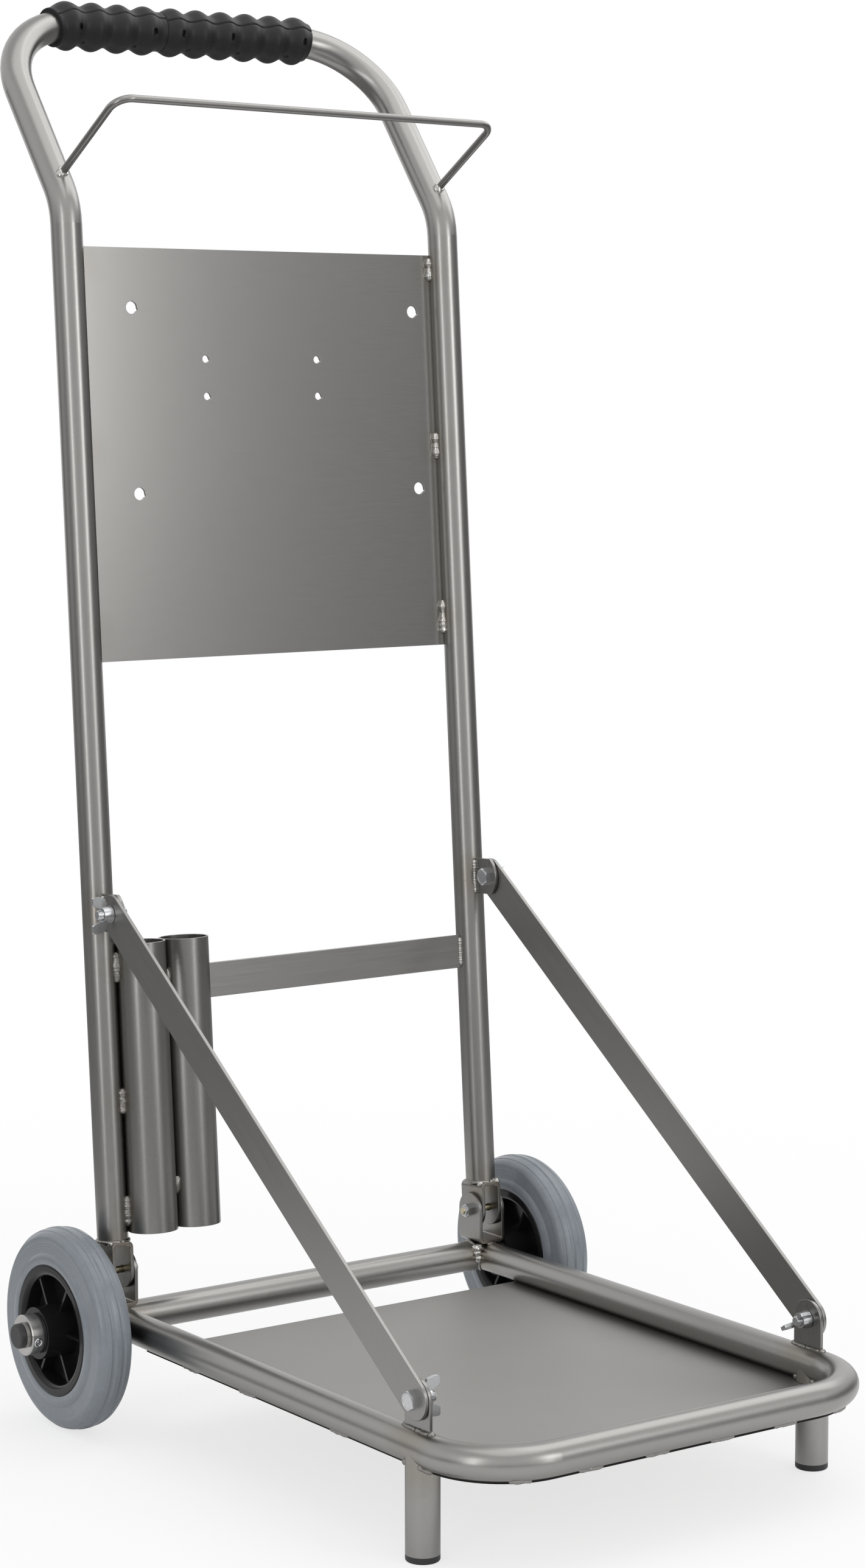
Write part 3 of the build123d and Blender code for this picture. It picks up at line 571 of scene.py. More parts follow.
def moulded(name, colour, roughness, dust, texture_scale, bump, shine=0.5, rings=None):
    """Rubber or plastic with a fine moulded texture, dust, and lathe rings where they are asked for."""
    made, tree, shader, coordinates = new_material(name)
    settled = place_group(tree, settled_dust, Coordinates=coordinates, Amount=dust)
    texture = add_node(tree, "ShaderNodeTexNoise", Scale=texture_scale, Detail=3.0, Roughness=0.6)
    tree.links.new(coordinates, texture.inputs["Vector"])
    pale = tuple(min(1.0, value * DUST_GAIN + DUST_LIFT) for value in colour) + (1,)
    deep = tuple(value * DEEP_SHADE for value in colour) + (1,)
    tone = mix_colour(tree, texture.outputs["Fac"], deep, tuple(colour) + (1,))
    tree.links.new(mix_colour(tree, settled.outputs["Dust"], tone, pale), shader.inputs["Base Color"])
    shader.inputs["Specular IOR Level"].default_value = shine
    rough = math_node(tree, "MULTIPLY_ADD", settled.outputs["Dust"], DUST_ROUGH, roughness)
    tree.links.new(rough, shader.inputs["Roughness"])
    height = math_node(tree, "MULTIPLY", texture.outputs["Fac"], TEXTURE_HEIGHT)
    if rings is not None:
        waves, shown = lathe_rings(tree, coordinates, *rings)
        shown = math_node(tree, "MULTIPLY", shown, RING_HEIGHT)
        height = math_node(tree, "MULTIPLY_ADD", waves, shown, height)
    relief = add_node(tree, "ShaderNodeBump", Strength=bump, Distance=MOULD_DEPTH)
    tree.links.new(height, relief.inputs["Height"])
    tree.links.new(relief.outputs[0], shader.inputs["Normal"])
    return made


wheel_r = extent("tyre_left").z / 2
rim_r = extent("rim_left").z / 2
tyre_wall = (rim_r + WALL_FROM_RIM, wheel_r - WALL_TO_TREAD)
tyre_rubber = moulded("tyre_rubber", (0.205, 0.228, 0.254), 0.24, 0.35, 260.0, 0.10, rings=tyre_wall)
grip_rubber = moulded("grip_rubber", (0.013, 0.013, 0.014), 0.46, 0.10, 900.0, 0.12, shine=0.35)
rim_plastic = moulded("rim_plastic", (0.010, 0.010, 0.011), 0.18, 0.06, 500.0, 0.04, shine=0.25)
cap_plastic = moulded("cap_plastic", (0.020, 0.020, 0.021), 0.42, 0.20, 700.0, 0.10)
nut_insert = moulded("nut_insert", (0.55, 0.56, 0.56), 0.45, 0.10, 600.0, 0.05)
print("tyre walls ringed from", *(round(radius / MM, 1) for radius in tyre_wall), "mm")

# %% [markdown]
# ## Dressing the solids
# A solid keeps its mesh, but its material slot can hold any finish, and modifiers are allowed. CAD edges
# are perfectly sharp, which no real edge is: a narrow bevel catches the light along them. The imported
# meshes are split along their edges, so they are welded together before the bevel.

# %% Give every solid its finish and soft edges
def finish_of(node):
    """The finish of a solid, by what it is."""
    by_start = (
        ("platform_rail", steel_rail), ("axle_tube", steel_rail), ("front_leg", steel_rail),
        ("platform_plate", steel_platform), ("lower_lug", steel_hinge), ("hinge_base", steel_hinge),
        ("hinge_bracket", steel_hinge), ("hinge_bolt", yellow_zinc), ("hinge_nut", zinc),
        ("upright_frame", steel_tube), ("hose_hook", steel_hook), ("back_plate", steel_sheet),
        ("lance_holder", steel_holder), ("cross_bar", steel_bar), ("upper_lug", steel_hinge),
        ("strut", steel_strut), ("upper_bolt", zinc), ("lower_bolt", zinc), ("upper_wing_nut", zinc),
        ("lower_wing_nut", zinc), ("axle_collar", steel_turned), ("axle_plug", cap_plastic),
        ("axle", steel_turned), ("collar_screw", zinc), ("hub_washers", zinc), ("leg_cap", cap_plastic),
        ("rim", rim_plastic), ("tyre", tyre_rubber), ("bearing_rollers", steel_turned),
        ("bearing_cage", cap_plastic), ("grip_sleeve", grip_rubber),
    )
    return next(finish for start, finish in by_start if node.startswith(start))


EDGE_WIDTHS = (
    ("strut", 0.0005), ("upper_lug", 0.0005), ("lower_lug", 0.0005), ("hinge_b", 0.0004),
    ("cross_bar", 0.0005), ("platform_plate", 0.0004), ("upper_wing_nut", 0.0008),
    ("lower_wing_nut", 0.0008), ("rim", 0.0006), ("axle_plug", 0.0004), ("lance_holder", 0.0003),
    ("tyre", 0.0010),
)
TOUCHING = 0.00001
FLAT_ANGLE = math.radians(0.3)
EDGE_ANGLE = math.radians(30)


def even_shading(piece):
    """Lets the large faces rule the shading, so that flat stays flat beside a rounded edge."""
    even = piece.modifiers.new("even", "WEIGHTED_NORMAL")
    even.weight = 100


def soften_edges(solid, width):
    """Joins the split mesh and rounds its sharp edges."""
    join = solid.modifiers.new("join", "WELD")
    join.merge_threshold = TOUCHING
    flatten = solid.modifiers.new("flatten", "DECIMATE")
    flatten.decimate_type = "DISSOLVE"
    flatten.angle_limit = FLAT_ANGLE
    round_off = solid.modifiers.new("round_off", "BEVEL")
    round_off.width = width
    round_off.segments = 2
    round_off.limit_method = "ANGLE"
    round_off.angle_limit = EDGE_ANGLE
    even_shading(solid)


softened = 0
for name, solid in nodes.items():
    solid.data.materials.clear()
    solid.data.materials.append(finish_of(name))
    for start, width in EDGE_WIDTHS:
        if name.startswith(start):
            soften_edges(solid, width)
            softened += 1
print("finished solids:", len(nodes), "with soft edges:", softened)

# %% [markdown]
# ## Building added pieces
# Welds, threads and grips are all skins over a row of rings, so one function joins rings into a closed
# surface. Another turns the finished mesh into a piece that rides on its body, with its finish and the
# solids that it stands for. Flat faces stay crisp because only shallow edges are shaded smooth.

# %% Helpers for meshes
SMOOTH_ANGLE = math.radians(32)


def skin(built, rings, closed=False):
    """Joins rings with equally many points: round to the first again, or with a cap on both ends."""
    made = [[built.verts.new(point) for point in ring] for ring in rings]
    pairs = list(zip(made, made[1:]))
    if closed:
        pairs.append((made[-1], made[0]))
    for lower, upper in pairs:
        for index, vertex in enumerate(lower):
            beside = (index + 1) % len(lower)
            built.faces.new((vertex, lower[beside], upper[beside], upper[index]))
    if not closed:
        built.faces.new(made[0][::-1])
        built.faces.new(made[-1])


def keep_piece(name, built, body, slot, finish, *replaced):
    """Turns a finished mesh into a piece of a body, with its finish and the solids that it stands for."""
    bmesh.ops.recalc_face_normals(built, faces=built.faces)
    data = bpy.data.meshes.new(name)
    built.to_mesh(data)
    built.free()
    data.materials.append(finish)
    data.shade_smooth()
    data.set_sharp_from_angle(angle=SMOOTH_ANGLE)
    piece = bpy.data.objects.new(name, data)
    bpy.context.scene.collection.objects.link(piece)
    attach(piece, body)
    if replaced:
        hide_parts(*replaced)
    return piece


def square_to(axis):
    """Two directions square to an axis and to each other."""
    axis = axis.normalized()
    helper = Vector((0, 0, 1)) if abs(axis.z) < 0.9 else Vector((0, 1, 0))
    first = axis.cross(helper).normalized()
    return first, axis.cross(first)


def turned(built, start, axis, profile, count, wobble=None):
    """A turned form: (height, radius) pairs along an axis, with the radius changed by height and angle."""
    axis = axis.normalized()
    first, second = square_to(axis)
    rings = []
    for height, radius in profile:
        ring = []
        for index in range(count):
            angle = 2 * math.pi * index / count
            reach = radius if wobble is None else wobble(height, radius, angle)
            ring.append(start + axis * height + (first * math.cos(angle) + second * math.sin(angle)) * reach)
        rings.append(ring)
    skin(built, rings)


print("smooth up to", round(math.degrees(SMOOTH_ANGLE)), "degrees")

# %% [markdown]
# ## Weld beads
# A hand welder moves in small steps, so a bead is a row of overlapping drops: its ripples are a few
# millimetres apart, its height drifts, and it ends in a rounded drop. A tack is a single drop. A curve with
# a round bevel would come out as smooth as wire. Rings along the same line can each swell and shrink, so a
# bead is a skin over rings, and a drop is a ball pushed out of round. The beads lie in the groove between
# two pieces of steel, so half of each is sunk in the metal that it joins.

# %% Helpers for welds
RIPPLE = 0.0021
BEAD_STEP = 0.0005
BEAD_SIDES = 12
RING_STEPS = 48
LEAST_TIP = 0.02
RIPPLE_SHIFT, SHIFT_SCALE = 5, 90
LUMP_SCALE, LUMP_ROW = 190, 3.7
SKIN_UNEVEN, SKIN_SCALE = 0.06, 400
DROP_UNEVEN, DROP_SCALE = 0.16, 1.6


def ring_angles():
    """The angles of one full turn, with the first again at the end."""
    return [2 * math.pi * step / RING_STEPS for step in range(RING_STEPS + 1)]


def path_points(points, step):
    """The same line with a point at every step of its length."""
    spread = [Vector(points[0])]
    for start, end in zip(points, points[1:]):
        count = max(1, round((end - start).length / step))
        spread += [start.lerp(end, index / count) for index in range(1, count + 1)]
    return spread


def bead(built, points, radius, lumpy=0.22, seed=0.0, rippled=0.05):
    """A weld bead along a line: ripples, slow lumps and round ends."""
    line = path_points([Vector(point) for point in points], BEAD_STEP)
    length = BEAD_STEP * (len(line) - 1)
    rings = []
    for index, point in enumerate(line):
        run = index * BEAD_STEP
        way = line[min(index + 1, len(line) - 1)] - line[max(index - 1, 0)]
        first, second = square_to(way)
        to_end = min(run, length - run) / radius
        rounded = math.sqrt(max(LEAST_TIP, 1 - max(0.0, 1 - to_end) ** 2))
        shifted = RIPPLE_SHIFT * noise.noise(Vector((seed, run * SHIFT_SCALE, 0)))
        ripple = 1 + rippled * math.cos(2 * math.pi * run / RIPPLE + shifted)
        lump = 1 + lumpy * noise.noise(Vector((run * LUMP_SCALE, seed, LUMP_ROW)))
        ring = []
        for step in range(BEAD_SIDES):
            angle = 2 * math.pi * step / BEAD_SIDES
            place = Vector((run * SKIN_SCALE, math.cos(angle) + seed, math.sin(angle)))
            uneven = 1 + SKIN_UNEVEN * noise.noise(place)
            reach = radius * rounded * ripple * lump * uneven
            ring.append(point + (first * math.cos(angle) + second * math.sin(angle)) * reach)
        rings.append(ring)
    skin(built, rings)


def drop(built, centre, size, seed=0.0):
    """A tack weld: one drop of metal, a little out of round."""
    made = bmesh.ops.create_icosphere(built, subdivisions=3, radius=1.0)
    for vertex in made["verts"]:
        swell = 1 + DROP_UNEVEN * noise.noise(vertex.co * DROP_SCALE + Vector((seed, 0, 0)))
        shaped = Vector(value * reach for value, reach in zip(vertex.co, size))
        vertex.co = Vector(centre) + shaped * swell


def side_bead(built, x, low, high, f, radius, seed, lumpy=0.22, rippled=0.05):
    """A bead along the leaning upright at one place across it."""
    bead(built, [on_upright(x, low, f), on_upright(x, high, f)], radius, lumpy, seed, rippled)


def count_faces(*names):
    """How many faces some pieces have together."""
    return sum(len(bpy.data.objects[name].data.polygons) for name in names)


print("weld ripples every", round(RIPPLE / MM, 1), "mm")

# %% [markdown]
# ## Welds of the upright
# The back plate is held by three short beads on either side, which lie in the groove before it. The two
# holders hang on three beads to the left tube and on small tacks to each other. A groove could be found by
# trying, but it follows from the tube's radius and the face that meets it, so its line is worked out.

# %% Weld the plate and the holders
SHEET_HALF_T = 0.001
PLATE_WELD_LENGTHS = (0.029, 0.023, 0.020)
PLATE_BEAD_R, PLATE_BEAD_IN, PLATE_BEAD_OUT = 0.0033, 0.0006, 0.0008
PLATE_DROP, PLATE_DROP_OUT, PLATE_DROP_SHARE = (0.0040, 0.0040, 0.0048), 0.001, 0.25
HOLDER_WELD_LENGTHS = (0.025, 0.022, 0.025)
HOLDER_BEAD_R = 0.0046
HOLDER_TACK, HOLDER_TACK_OUT = (0.0042, 0.0042, 0.0078), 0.0052
outer_x = middle("lance_holder_outer").x
inner_x = middle("lance_holder_inner").x
_, holder_f = upright_reading(middle("lance_holder_outer"))
plate_face = plate_f + SHEET_HALF_T

plate_welds = bmesh.new()
for sign in signs:
    groove_x = sign * (side_x - math.sqrt(tube_r ** 2 - plate_face ** 2) - PLATE_BEAD_IN)
    for number, (s, length) in enumerate(zip(PLATE_WELD_S, PLATE_WELD_LENGTHS)):
        side_bead(plate_welds, groove_x, s - length / 2, s + length / 2, plate_face + PLATE_BEAD_OUT,
                  PLATE_BEAD_R, sign + number, lumpy=0.5, rippled=0.03)
        lump = on_upright(groove_x, s - length * PLATE_DROP_SHARE, plate_face + PLATE_DROP_OUT)
        drop(plate_welds, lump, PLATE_DROP, number)
keep_piece("plate_welds", plate_welds, "upright", "stainless", weld_metal)

holder_welds = bmesh.new()
to_holder = Vector((outer_x + side_x, holder_f)).normalized()
groove_x = -side_x + to_holder.x * tube_r - to_holder.y * HOLDER_BEAD_R
groove_f = to_holder.y * tube_r + to_holder.x * HOLDER_BEAD_R
for number, (s, length) in enumerate(zip(HOLDER_WELD_S, HOLDER_WELD_LENGTHS)):
    side_bead(holder_welds, groove_x, s - length / 2, s + length / 2, groove_f, HOLDER_BEAD_R, 4.0 + number,
              lumpy=0.15, rippled=0.015)
for number, s in enumerate(BETWEEN_HOLDERS_S):
    between = on_upright((outer_x + inner_x) / 2, s, holder_f + HOLDER_TACK_OUT)
    drop(holder_welds, between, HOLDER_TACK, 2.0 + number)
keep_piece("holder_welds", holder_welds, "upright", "stainless", weld_seam)
print("plate and holder welds:", count_faces("plate_welds", "holder_welds"), "faces")

# %% [markdown]
# ## Welds of the bar, the lugs and the brackets
# The cross bar and the lugs are welded along the edges where they meet a tube, with thinner beads. Each
# bracket is welded all round the foot of its tube, and drops of weld stand on its front corners where the
# photograph shows them. The foot is cut square, so its bead is a plain circle of points.

# %% Weld the bar, the lugs and the brackets
BAR_HALF_T = 0.0015
BAR_BEAD_INS = (0.0002, 0.0004)
BAR_BEAD_SHORT, LUG_BEAD_SHORT = 0.002, 0.001
LUG_BEAD_OUT = 0.0007
LUG_HALF = 0.015
EDGE_BEAD_R = 0.0018
BRACKET_RISE, BRACKET_BEAD_R = 0.024, 0.0015
BRACKET_DROPS = ((1, -1, 0.0026), (1, 1, 0.0026), (-1, -1, 0.0022))
BRACKET_DROP_SIDE, BRACKET_DROP_LOW, BRACKET_DROP_FRONT = 0.0086, 0.0008, 0.0112

bar_welds = bmesh.new()
bar_low, bar_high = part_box("cross_bar")
bar_s, bar_f = upright_reading(middle("cross_bar"))
bar_half = (bar_high - bar_low).z / 2 - BAR_BEAD_SHORT
for number, x in enumerate((bar_low.x - BAR_BEAD_INS[0], bar_high.x - BAR_BEAD_INS[1])):
    for face in (bar_f + BAR_HALF_T, bar_f - BAR_HALF_T):
        side_bead(bar_welds, x, bar_s - bar_half, bar_s + bar_half, face, EDGE_BEAD_R, 7.0 + number)
keep_piece("bar_welds", bar_welds, "upright", "stainless", weld_metal)

lug_welds = bmesh.new()
lug_half_t = extent("upper_lug_left").x / 2
lug_bead_half = LUG_HALF - LUG_BEAD_SHORT
for sign in signs:
    for face in (-1, 1):
        x = sign * side_x + face * (lug_half_t + LUG_BEAD_OUT)
        side_bead(lug_welds, x, lug_s - lug_bead_half, lug_s + lug_bead_half, tube_r, EDGE_BEAD_R,
                  9.0 + sign + face)
keep_piece("upper_lug_welds", lug_welds, "upright", "stainless", weld_metal)

bracket_welds = bmesh.new()
for sign in signs:
    ring = []
    for angle in ring_angles():
        wide, deep = tube_r * math.sin(angle), tube_r * math.cos(angle)
        ring.append(on_upright(sign * side_x + wide, BRACKET_RISE, deep))
    bead(bracket_welds, ring, BRACKET_BEAD_R, seed=12.0 + sign)
keep_piece("bracket_welds", bracket_welds, "upright", "stainless", weld_seam)

bracket_drops = bmesh.new()
for sign, corner_sign, size in BRACKET_DROPS:
    corner_x = sign * side_x + corner_sign * BRACKET_DROP_SIDE
    corner = on_upright(corner_x, BRACKET_RISE - BRACKET_DROP_LOW, BRACKET_DROP_FRONT)
    drop(bracket_drops, corner, (size, size, size), corner_sign)
keep_piece("bracket_drops", bracket_drops, "upright", "stainless", weld_metal)
print("thin welds:", count_faces("bar_welds", "upper_lug_welds", "bracket_welds", "bracket_drops"), "faces")

# %% [markdown]
# ## Welds round rods and tubes
# Where a rod or a tube ends on another tube, the bead runs round the saddle line of the two. A saddle is
# easy to write down: go round the first one and ask how far along it the surface of the second lies.
# The hook's rod meets the sloping handle tube, and the ends of the rail meet the axle tube. The legs meet
# the rail from below and are welded at the front and at the back only. Drops fill the right rear corner.

# %% Make the ring welds
HANDLE_LEAN = math.radians(37.2)
HOOK_ANGLE = math.radians(31.6)
HOOK_ROD_R = 0.003
HOOK_END_SIDE, HOOK_END_DEEP = 0.0032, 0.004
HOOK_BEAD_R, HOOK_BEAD_OUT, HOOK_BEAD_RISE = 0.0013, 0.0003, 0.0006
HOOK_DROP, HOOK_DROP_SHIFT = (0.0042, 0.0042, 0.0050), Vector((-0.0022, 0, -0.0024))
SADDLE_PLAY = 0.0004
RAIL_BEAD_R = 0.0014
LEG_BEAD_R = 0.0024
LEG_WELD_TURN = math.radians(100)
LEG_WELD_STEPS = 16
CORNER_DROPS = ((0.0085, 0.0044), (0.0050, 0.0038), (0.0005, 0.0034))
CORNER_IN, CORNER_SLANT = 0.0012, 0.25
handle_normal = Vector((0, -math.cos(HANDLE_LEAN), math.sin(HANDLE_LEAN)))
hook_way = Vector((0, -math.cos(HOOK_ANGLE), math.sin(HOOK_ANGLE)))
hook_side = Vector((0, math.sin(HOOK_ANGLE), math.cos(HOOK_ANGLE)))


def hook_foot(sign):
    """The middle of the hook's end on its tube, found as the middle of the solid's rearmost points there."""
    ends = [v.co for v in nodes["hose_hook"].data.vertices if abs(v.co.x - sign * side_x) < HOOK_END_SIDE]
    back = max(point.y for point in ends)
    near = [point for point in ends if point.y > back - HOOK_END_DEEP]
    return sum(near, Vector()) / len(near)


hook_welds = bmesh.new()
reach = HOOK_ROD_R + HOOK_BEAD_OUT
for sign in signs:
    foot = hook_foot(sign)
    ring = []
    for angle in ring_angles():
        sideways = reach * math.cos(angle)
        sink = (tube_r - math.sqrt(tube_r ** 2 - sideways ** 2)) / hook_way.dot(handle_normal)
        around = Vector((sideways, 0, 0)) + hook_side * reach * math.sin(angle)
        ring.append(Vector((sign * side_x, foot.y, foot.z)) + around + hook_way * (HOOK_BEAD_RISE - sink))
    bead(hook_welds, ring, HOOK_BEAD_R, seed=15.0 + sign)
    drop(hook_welds, foot + HOOK_DROP_SHIFT, HOOK_DROP, 16.0 + sign)
keep_piece("hook_welds", hook_welds, "upright", "stainless", weld_metal)

leg_welds = bmesh.new()
for sign in signs:
    for facing in (-math.pi / 2, math.pi / 2):
        arc = []
        for step in range(LEG_WELD_STEPS + 1):
            angle = facing + LEG_WELD_TURN * (step / LEG_WELD_STEPS - 0.5)
            wide, deep = tube_r * math.cos(angle), tube_r * math.sin(angle)
            arc.append(Vector((sign * side_x + wide, leg_y + deep, axle.z - abs(deep) - SADDLE_PLAY)))
        bead(leg_welds, arc, LEG_BEAD_R, lumpy=0.5, seed=18.0 + sign + facing, rippled=0.03)
keep_piece("leg_welds", leg_welds, "platform", "stainless", weld_seam)

rail_welds = bmesh.new()
for sign in signs:
    ring = []
    for angle in ring_angles():
        wide, deep = tube_r * math.cos(angle), tube_r * math.sin(angle)
        ring.append(Vector((sign * side_x + wide, axle.y - abs(wide) - SADDLE_PLAY, axle.z + deep)))
    bead(rail_welds, ring, RAIL_BEAD_R, seed=21.0 + sign)
keep_piece("rail_welds", rail_welds, "platform", "stainless", weld_seam)

corner_welds = bmesh.new()
for number, (up, size) in enumerate(CORNER_DROPS):
    lump_y = axle.y - tube_r - CORNER_IN + up * CORNER_SLANT
    lump = Vector((side_x - tube_r - CORNER_IN, lump_y, axle.z + up))
    drop(corner_welds, lump, (size, size, size), 25.0 + number)
keep_piece("corner_welds", corner_welds, "platform", "stainless", weld_metal)
print("ring welds:", count_faces("hook_welds", "leg_welds", "rail_welds", "corner_welds"), "faces")

# %% [markdown]
# ## Stitch welds of the platform
# A thin sheet would buckle under a full weld, so it is stitched to the rail: short beads with gaps
# between them, along the outer edge, and a tack at each inner corner. On a straight side two points make a
# bead. In the front bends a straight bead would leave the rail, so its points are placed by their angle.

# %% Make the stitch welds
STITCH_Y = (-0.120, -0.200, -0.322)
STITCH_R, STITCH_LENGTH, STITCH_RIPPLED = 0.0024, 0.022, 0.02
STITCH_OUT, STITCH_UP = 0.0026, 0.0006
CORNER_STITCH_ANGLE, CORNER_STITCH_LENGTH = math.radians(66), 0.017
CORNER_STITCH_STEPS = 6
CORNER_LUMP, CORNER_LUMP_UP = (0.0072, 0.0032, 0.0040), 0.0012
INNER_TACK_ANGLE, INNER_TACK_LENGTH = math.radians(20), 0.010
INNER_TACK_R, INNER_TACK_OUT, INNER_TACK_UP = 0.0015, -0.0075, 0.0002
FRONT_STITCHES, FRONT_STITCH_FIRST, FRONT_STITCH_PITCH = 4, -0.090, 0.060
RAIL_FRONT = 0.491
RAIL_BEND = 0.060
stitch_z = axle.z - tube_r + STITCH_UP
tack_z = axle.z - tube_r + INNER_TACK_UP


def bend_point(sign, angle, out, z):
    """A point on the rail's front bend; angle 0 points sideways and 90 degrees to the front."""
    reach = RAIL_BEND + out
    x = sign * (side_x - RAIL_BEND) + sign * reach * math.cos(angle)
    return Vector((x, axle.y - RAIL_FRONT + RAIL_BEND - reach * math.sin(angle), z))


def corner_stitch(built, sign, angle, out, z, length, radius, seed):
    """A short bead along the rail's front bend."""
    points = []
    for step in range(CORNER_STITCH_STEPS + 1):
        turn = angle + (step / CORNER_STITCH_STEPS - 0.5) * length / (RAIL_BEND + out)
        points.append(bend_point(sign, turn, out, z))
    bead(built, points, radius, seed=seed)


stitch_welds = bmesh.new()
for sign in signs:
    for number, y in enumerate(STITCH_Y):
        x = sign * (side_x + STITCH_OUT)
        start = Vector((x, axle.y + y + STITCH_LENGTH / 2, stitch_z))
        end = Vector((x, axle.y + y - STITCH_LENGTH / 2, stitch_z))
        bead(stitch_welds, [start, end], STITCH_R, seed=27.0 + number + sign, rippled=STITCH_RIPPLED)
    corner_stitch(stitch_welds, sign, CORNER_STITCH_ANGLE, STITCH_OUT, stitch_z, CORNER_STITCH_LENGTH,
                  STITCH_R, 33.0 + sign)
    lump = bend_point(sign, CORNER_STITCH_ANGLE, STITCH_OUT, stitch_z + CORNER_LUMP_UP)
    drop(stitch_welds, lump, CORNER_LUMP, 34.0 + sign)
    corner_stitch(stitch_welds, sign, INNER_TACK_ANGLE, INNER_TACK_OUT, tack_z, INNER_TACK_LENGTH,
                  INNER_TACK_R, 36.0 + sign)
front_y = axle.y - RAIL_FRONT - STITCH_OUT
for number in range(FRONT_STITCHES):
    x = FRONT_STITCH_FIRST + FRONT_STITCH_PITCH * number
    ends = [Vector((x + half, front_y, stitch_z)) for half in (-STITCH_LENGTH / 2, STITCH_LENGTH / 2)]
    bead(stitch_welds, ends, STITCH_R, seed=39.0 + number, rippled=STITCH_RIPPLED)
keep_piece("stitch_welds", stitch_welds, "platform", "stainless", weld_seam)
print("stitch welds:", count_faces("stitch_welds"), "faces")

# %% [markdown]
# ## Welds of the lugs and hinge bases
# The plates for the struts and the folded hinge bases stand on top of the rail. A plate is welded along
# both its foot's sides and at its ends, and a base at its front and on its inner side. The tubes below are
# round, so a bead across one rises to the middle and falls again. It is short, so three points will do.

# %% Weld the lugs and the hinge bases
LUG_DROP = (0.0030, 0.0026, 0.0024)
LUG_DROP_OUT, LUG_DROP_SINK = 0.0006, 0.0002
LUG_FOOT_R, LUG_FOOT_HALF, LUG_FOOT_OUT, LUG_FOOT_SINK = 0.0016, 0.0145, 0.0006, 0.0001
BASE_HALF_DEEP, BASE_BEAD_OVER = 0.015, 0.0006
BASE_BEAD_R, BASE_BEAD_HALF, BASE_BEAD_FALL = 0.0008, 0.005, 0.0010
INNER_BEAD_R, INNER_BEAD_HALF, INNER_BEAD_IN = 0.0014, 0.008, 0.0132
INNER_BEAD_FALL, INNER_BEAD_UP = 0.0014, 0.0002
BASE_DROP, BASE_DROP_IN, BASE_DROP_FRONT, BASE_DROP_SINK = (0.0042, 0.0042, 0.0036), 0.0118, 0.0122, 0.0030
rail_top = axle.z + tube_r
base_front = axle.y - BASE_HALF_DEEP + BASE_BEAD_OVER

base_welds = bmesh.new()
for sign in signs:
    x = sign * side_x
    for end in (-1, 1):
        lug_end = Vector((x, lug_y + end * (LUG_HALF + LUG_DROP_OUT), rail_top - LUG_DROP_SINK))
        drop(base_welds, lug_end, LUG_DROP, 43.0 + end)
        for face in (-1, 1):
            beside = x + face * (lug_half_t + LUG_FOOT_OUT)
            start = Vector((beside, lug_y + end * LUG_FOOT_HALF, rail_top - LUG_FOOT_SINK))
            bead(base_welds, [start, Vector((beside, lug_y, start.z))], LUG_FOOT_R, lumpy=0.5,
                 seed=45.0 + end + face)
    bead(base_welds, [
        Vector((x - BASE_BEAD_HALF, base_front, rail_top - BASE_BEAD_FALL)),
        Vector((x, base_front, rail_top)),
        Vector((x + BASE_BEAD_HALF, base_front, rail_top - BASE_BEAD_FALL)),
    ], BASE_BEAD_R, seed=48.0 + sign)
    inner = x - sign * INNER_BEAD_IN
    bead(base_welds, [
        Vector((inner, axle.y - INNER_BEAD_HALF, rail_top - INNER_BEAD_FALL)),
        Vector((inner, axle.y, rail_top + INNER_BEAD_UP)),
        Vector((inner, axle.y + INNER_BEAD_HALF, rail_top - INNER_BEAD_FALL)),
    ], INNER_BEAD_R, seed=51.0 + sign)
base_corner = (side_x - BASE_DROP_IN, axle.y - BASE_DROP_FRONT, rail_top - BASE_DROP_SINK)
drop(base_welds, base_corner, BASE_DROP, 55.0)
keep_piece("base_welds", base_welds, "platform", "stainless", weld_seam)

# %% [markdown]
# ## Bolts, threads and lock nuts
# A bolt's hexagon is turned down at its corners, so each of its six faces ends in a curve. A thread is
# a ridge that climbs one pitch in every turn. A Screw modifier could wind it, but it has to fade out at the
# plain shank and at the tip. On a turned form it is enough to ask how far a point is between two ridges,
# from its height and its angle. Lock nuts end in a round collar, which holds a nylon ring. The collars on
# the axle are held by set screws, with a rounded crown and a hexagon socket.

# %% Helpers for fasteners
HEX_STEPS = 48
THREAD_STEPS = 32
LEVELS_PER_PITCH = 8
CHAMFER_SLOPE = math.tan(math.radians(30))
RIM_SHARE = 0.475
DISH_SHARES, DISH_DEPTH = (0.86, 0.82), 0.0003
THREAD_DEPTH, TIP_SLOPE, TIP_LEAST = 0.5, 0.8, 0.4
OVERLAP = 0.0002
M8 = {"radius": 0.004, "pitch": 0.00125, "flats": 0.013, "head": 0.0053}
M6 = {"radius": 0.003, "pitch": 0.001, "flats": 0.010, "head": 0.004}


def hex_ring(base, axis, flats, lift):
    """The ring of a hexagon, with its height at each point given by the distance from the middle."""
    first, second = square_to(axis)
    ring = []
    for step in range(HEX_STEPS):
        angle = 2 * math.pi * step / HEX_STEPS
        from_flat = (angle + math.pi / 6) % (math.pi / 3) - math.pi / 6
        reach = flats / 2 / math.cos(from_flat)
        way = first * math.cos(angle) + second * math.sin(angle)
        ring.append(base + way * reach + axis * lift(reach))
    return ring


def round_ring(base, axis, radius, height):
    """A plain ring with as many points as a hexagon's."""
    first, second = square_to(axis)
    angles = [2 * math.pi * step / HEX_STEPS for step in range(HEX_STEPS)]
    return [base + (first * math.cos(a) + second * math.sin(a)) * radius + axis * height for a in angles]


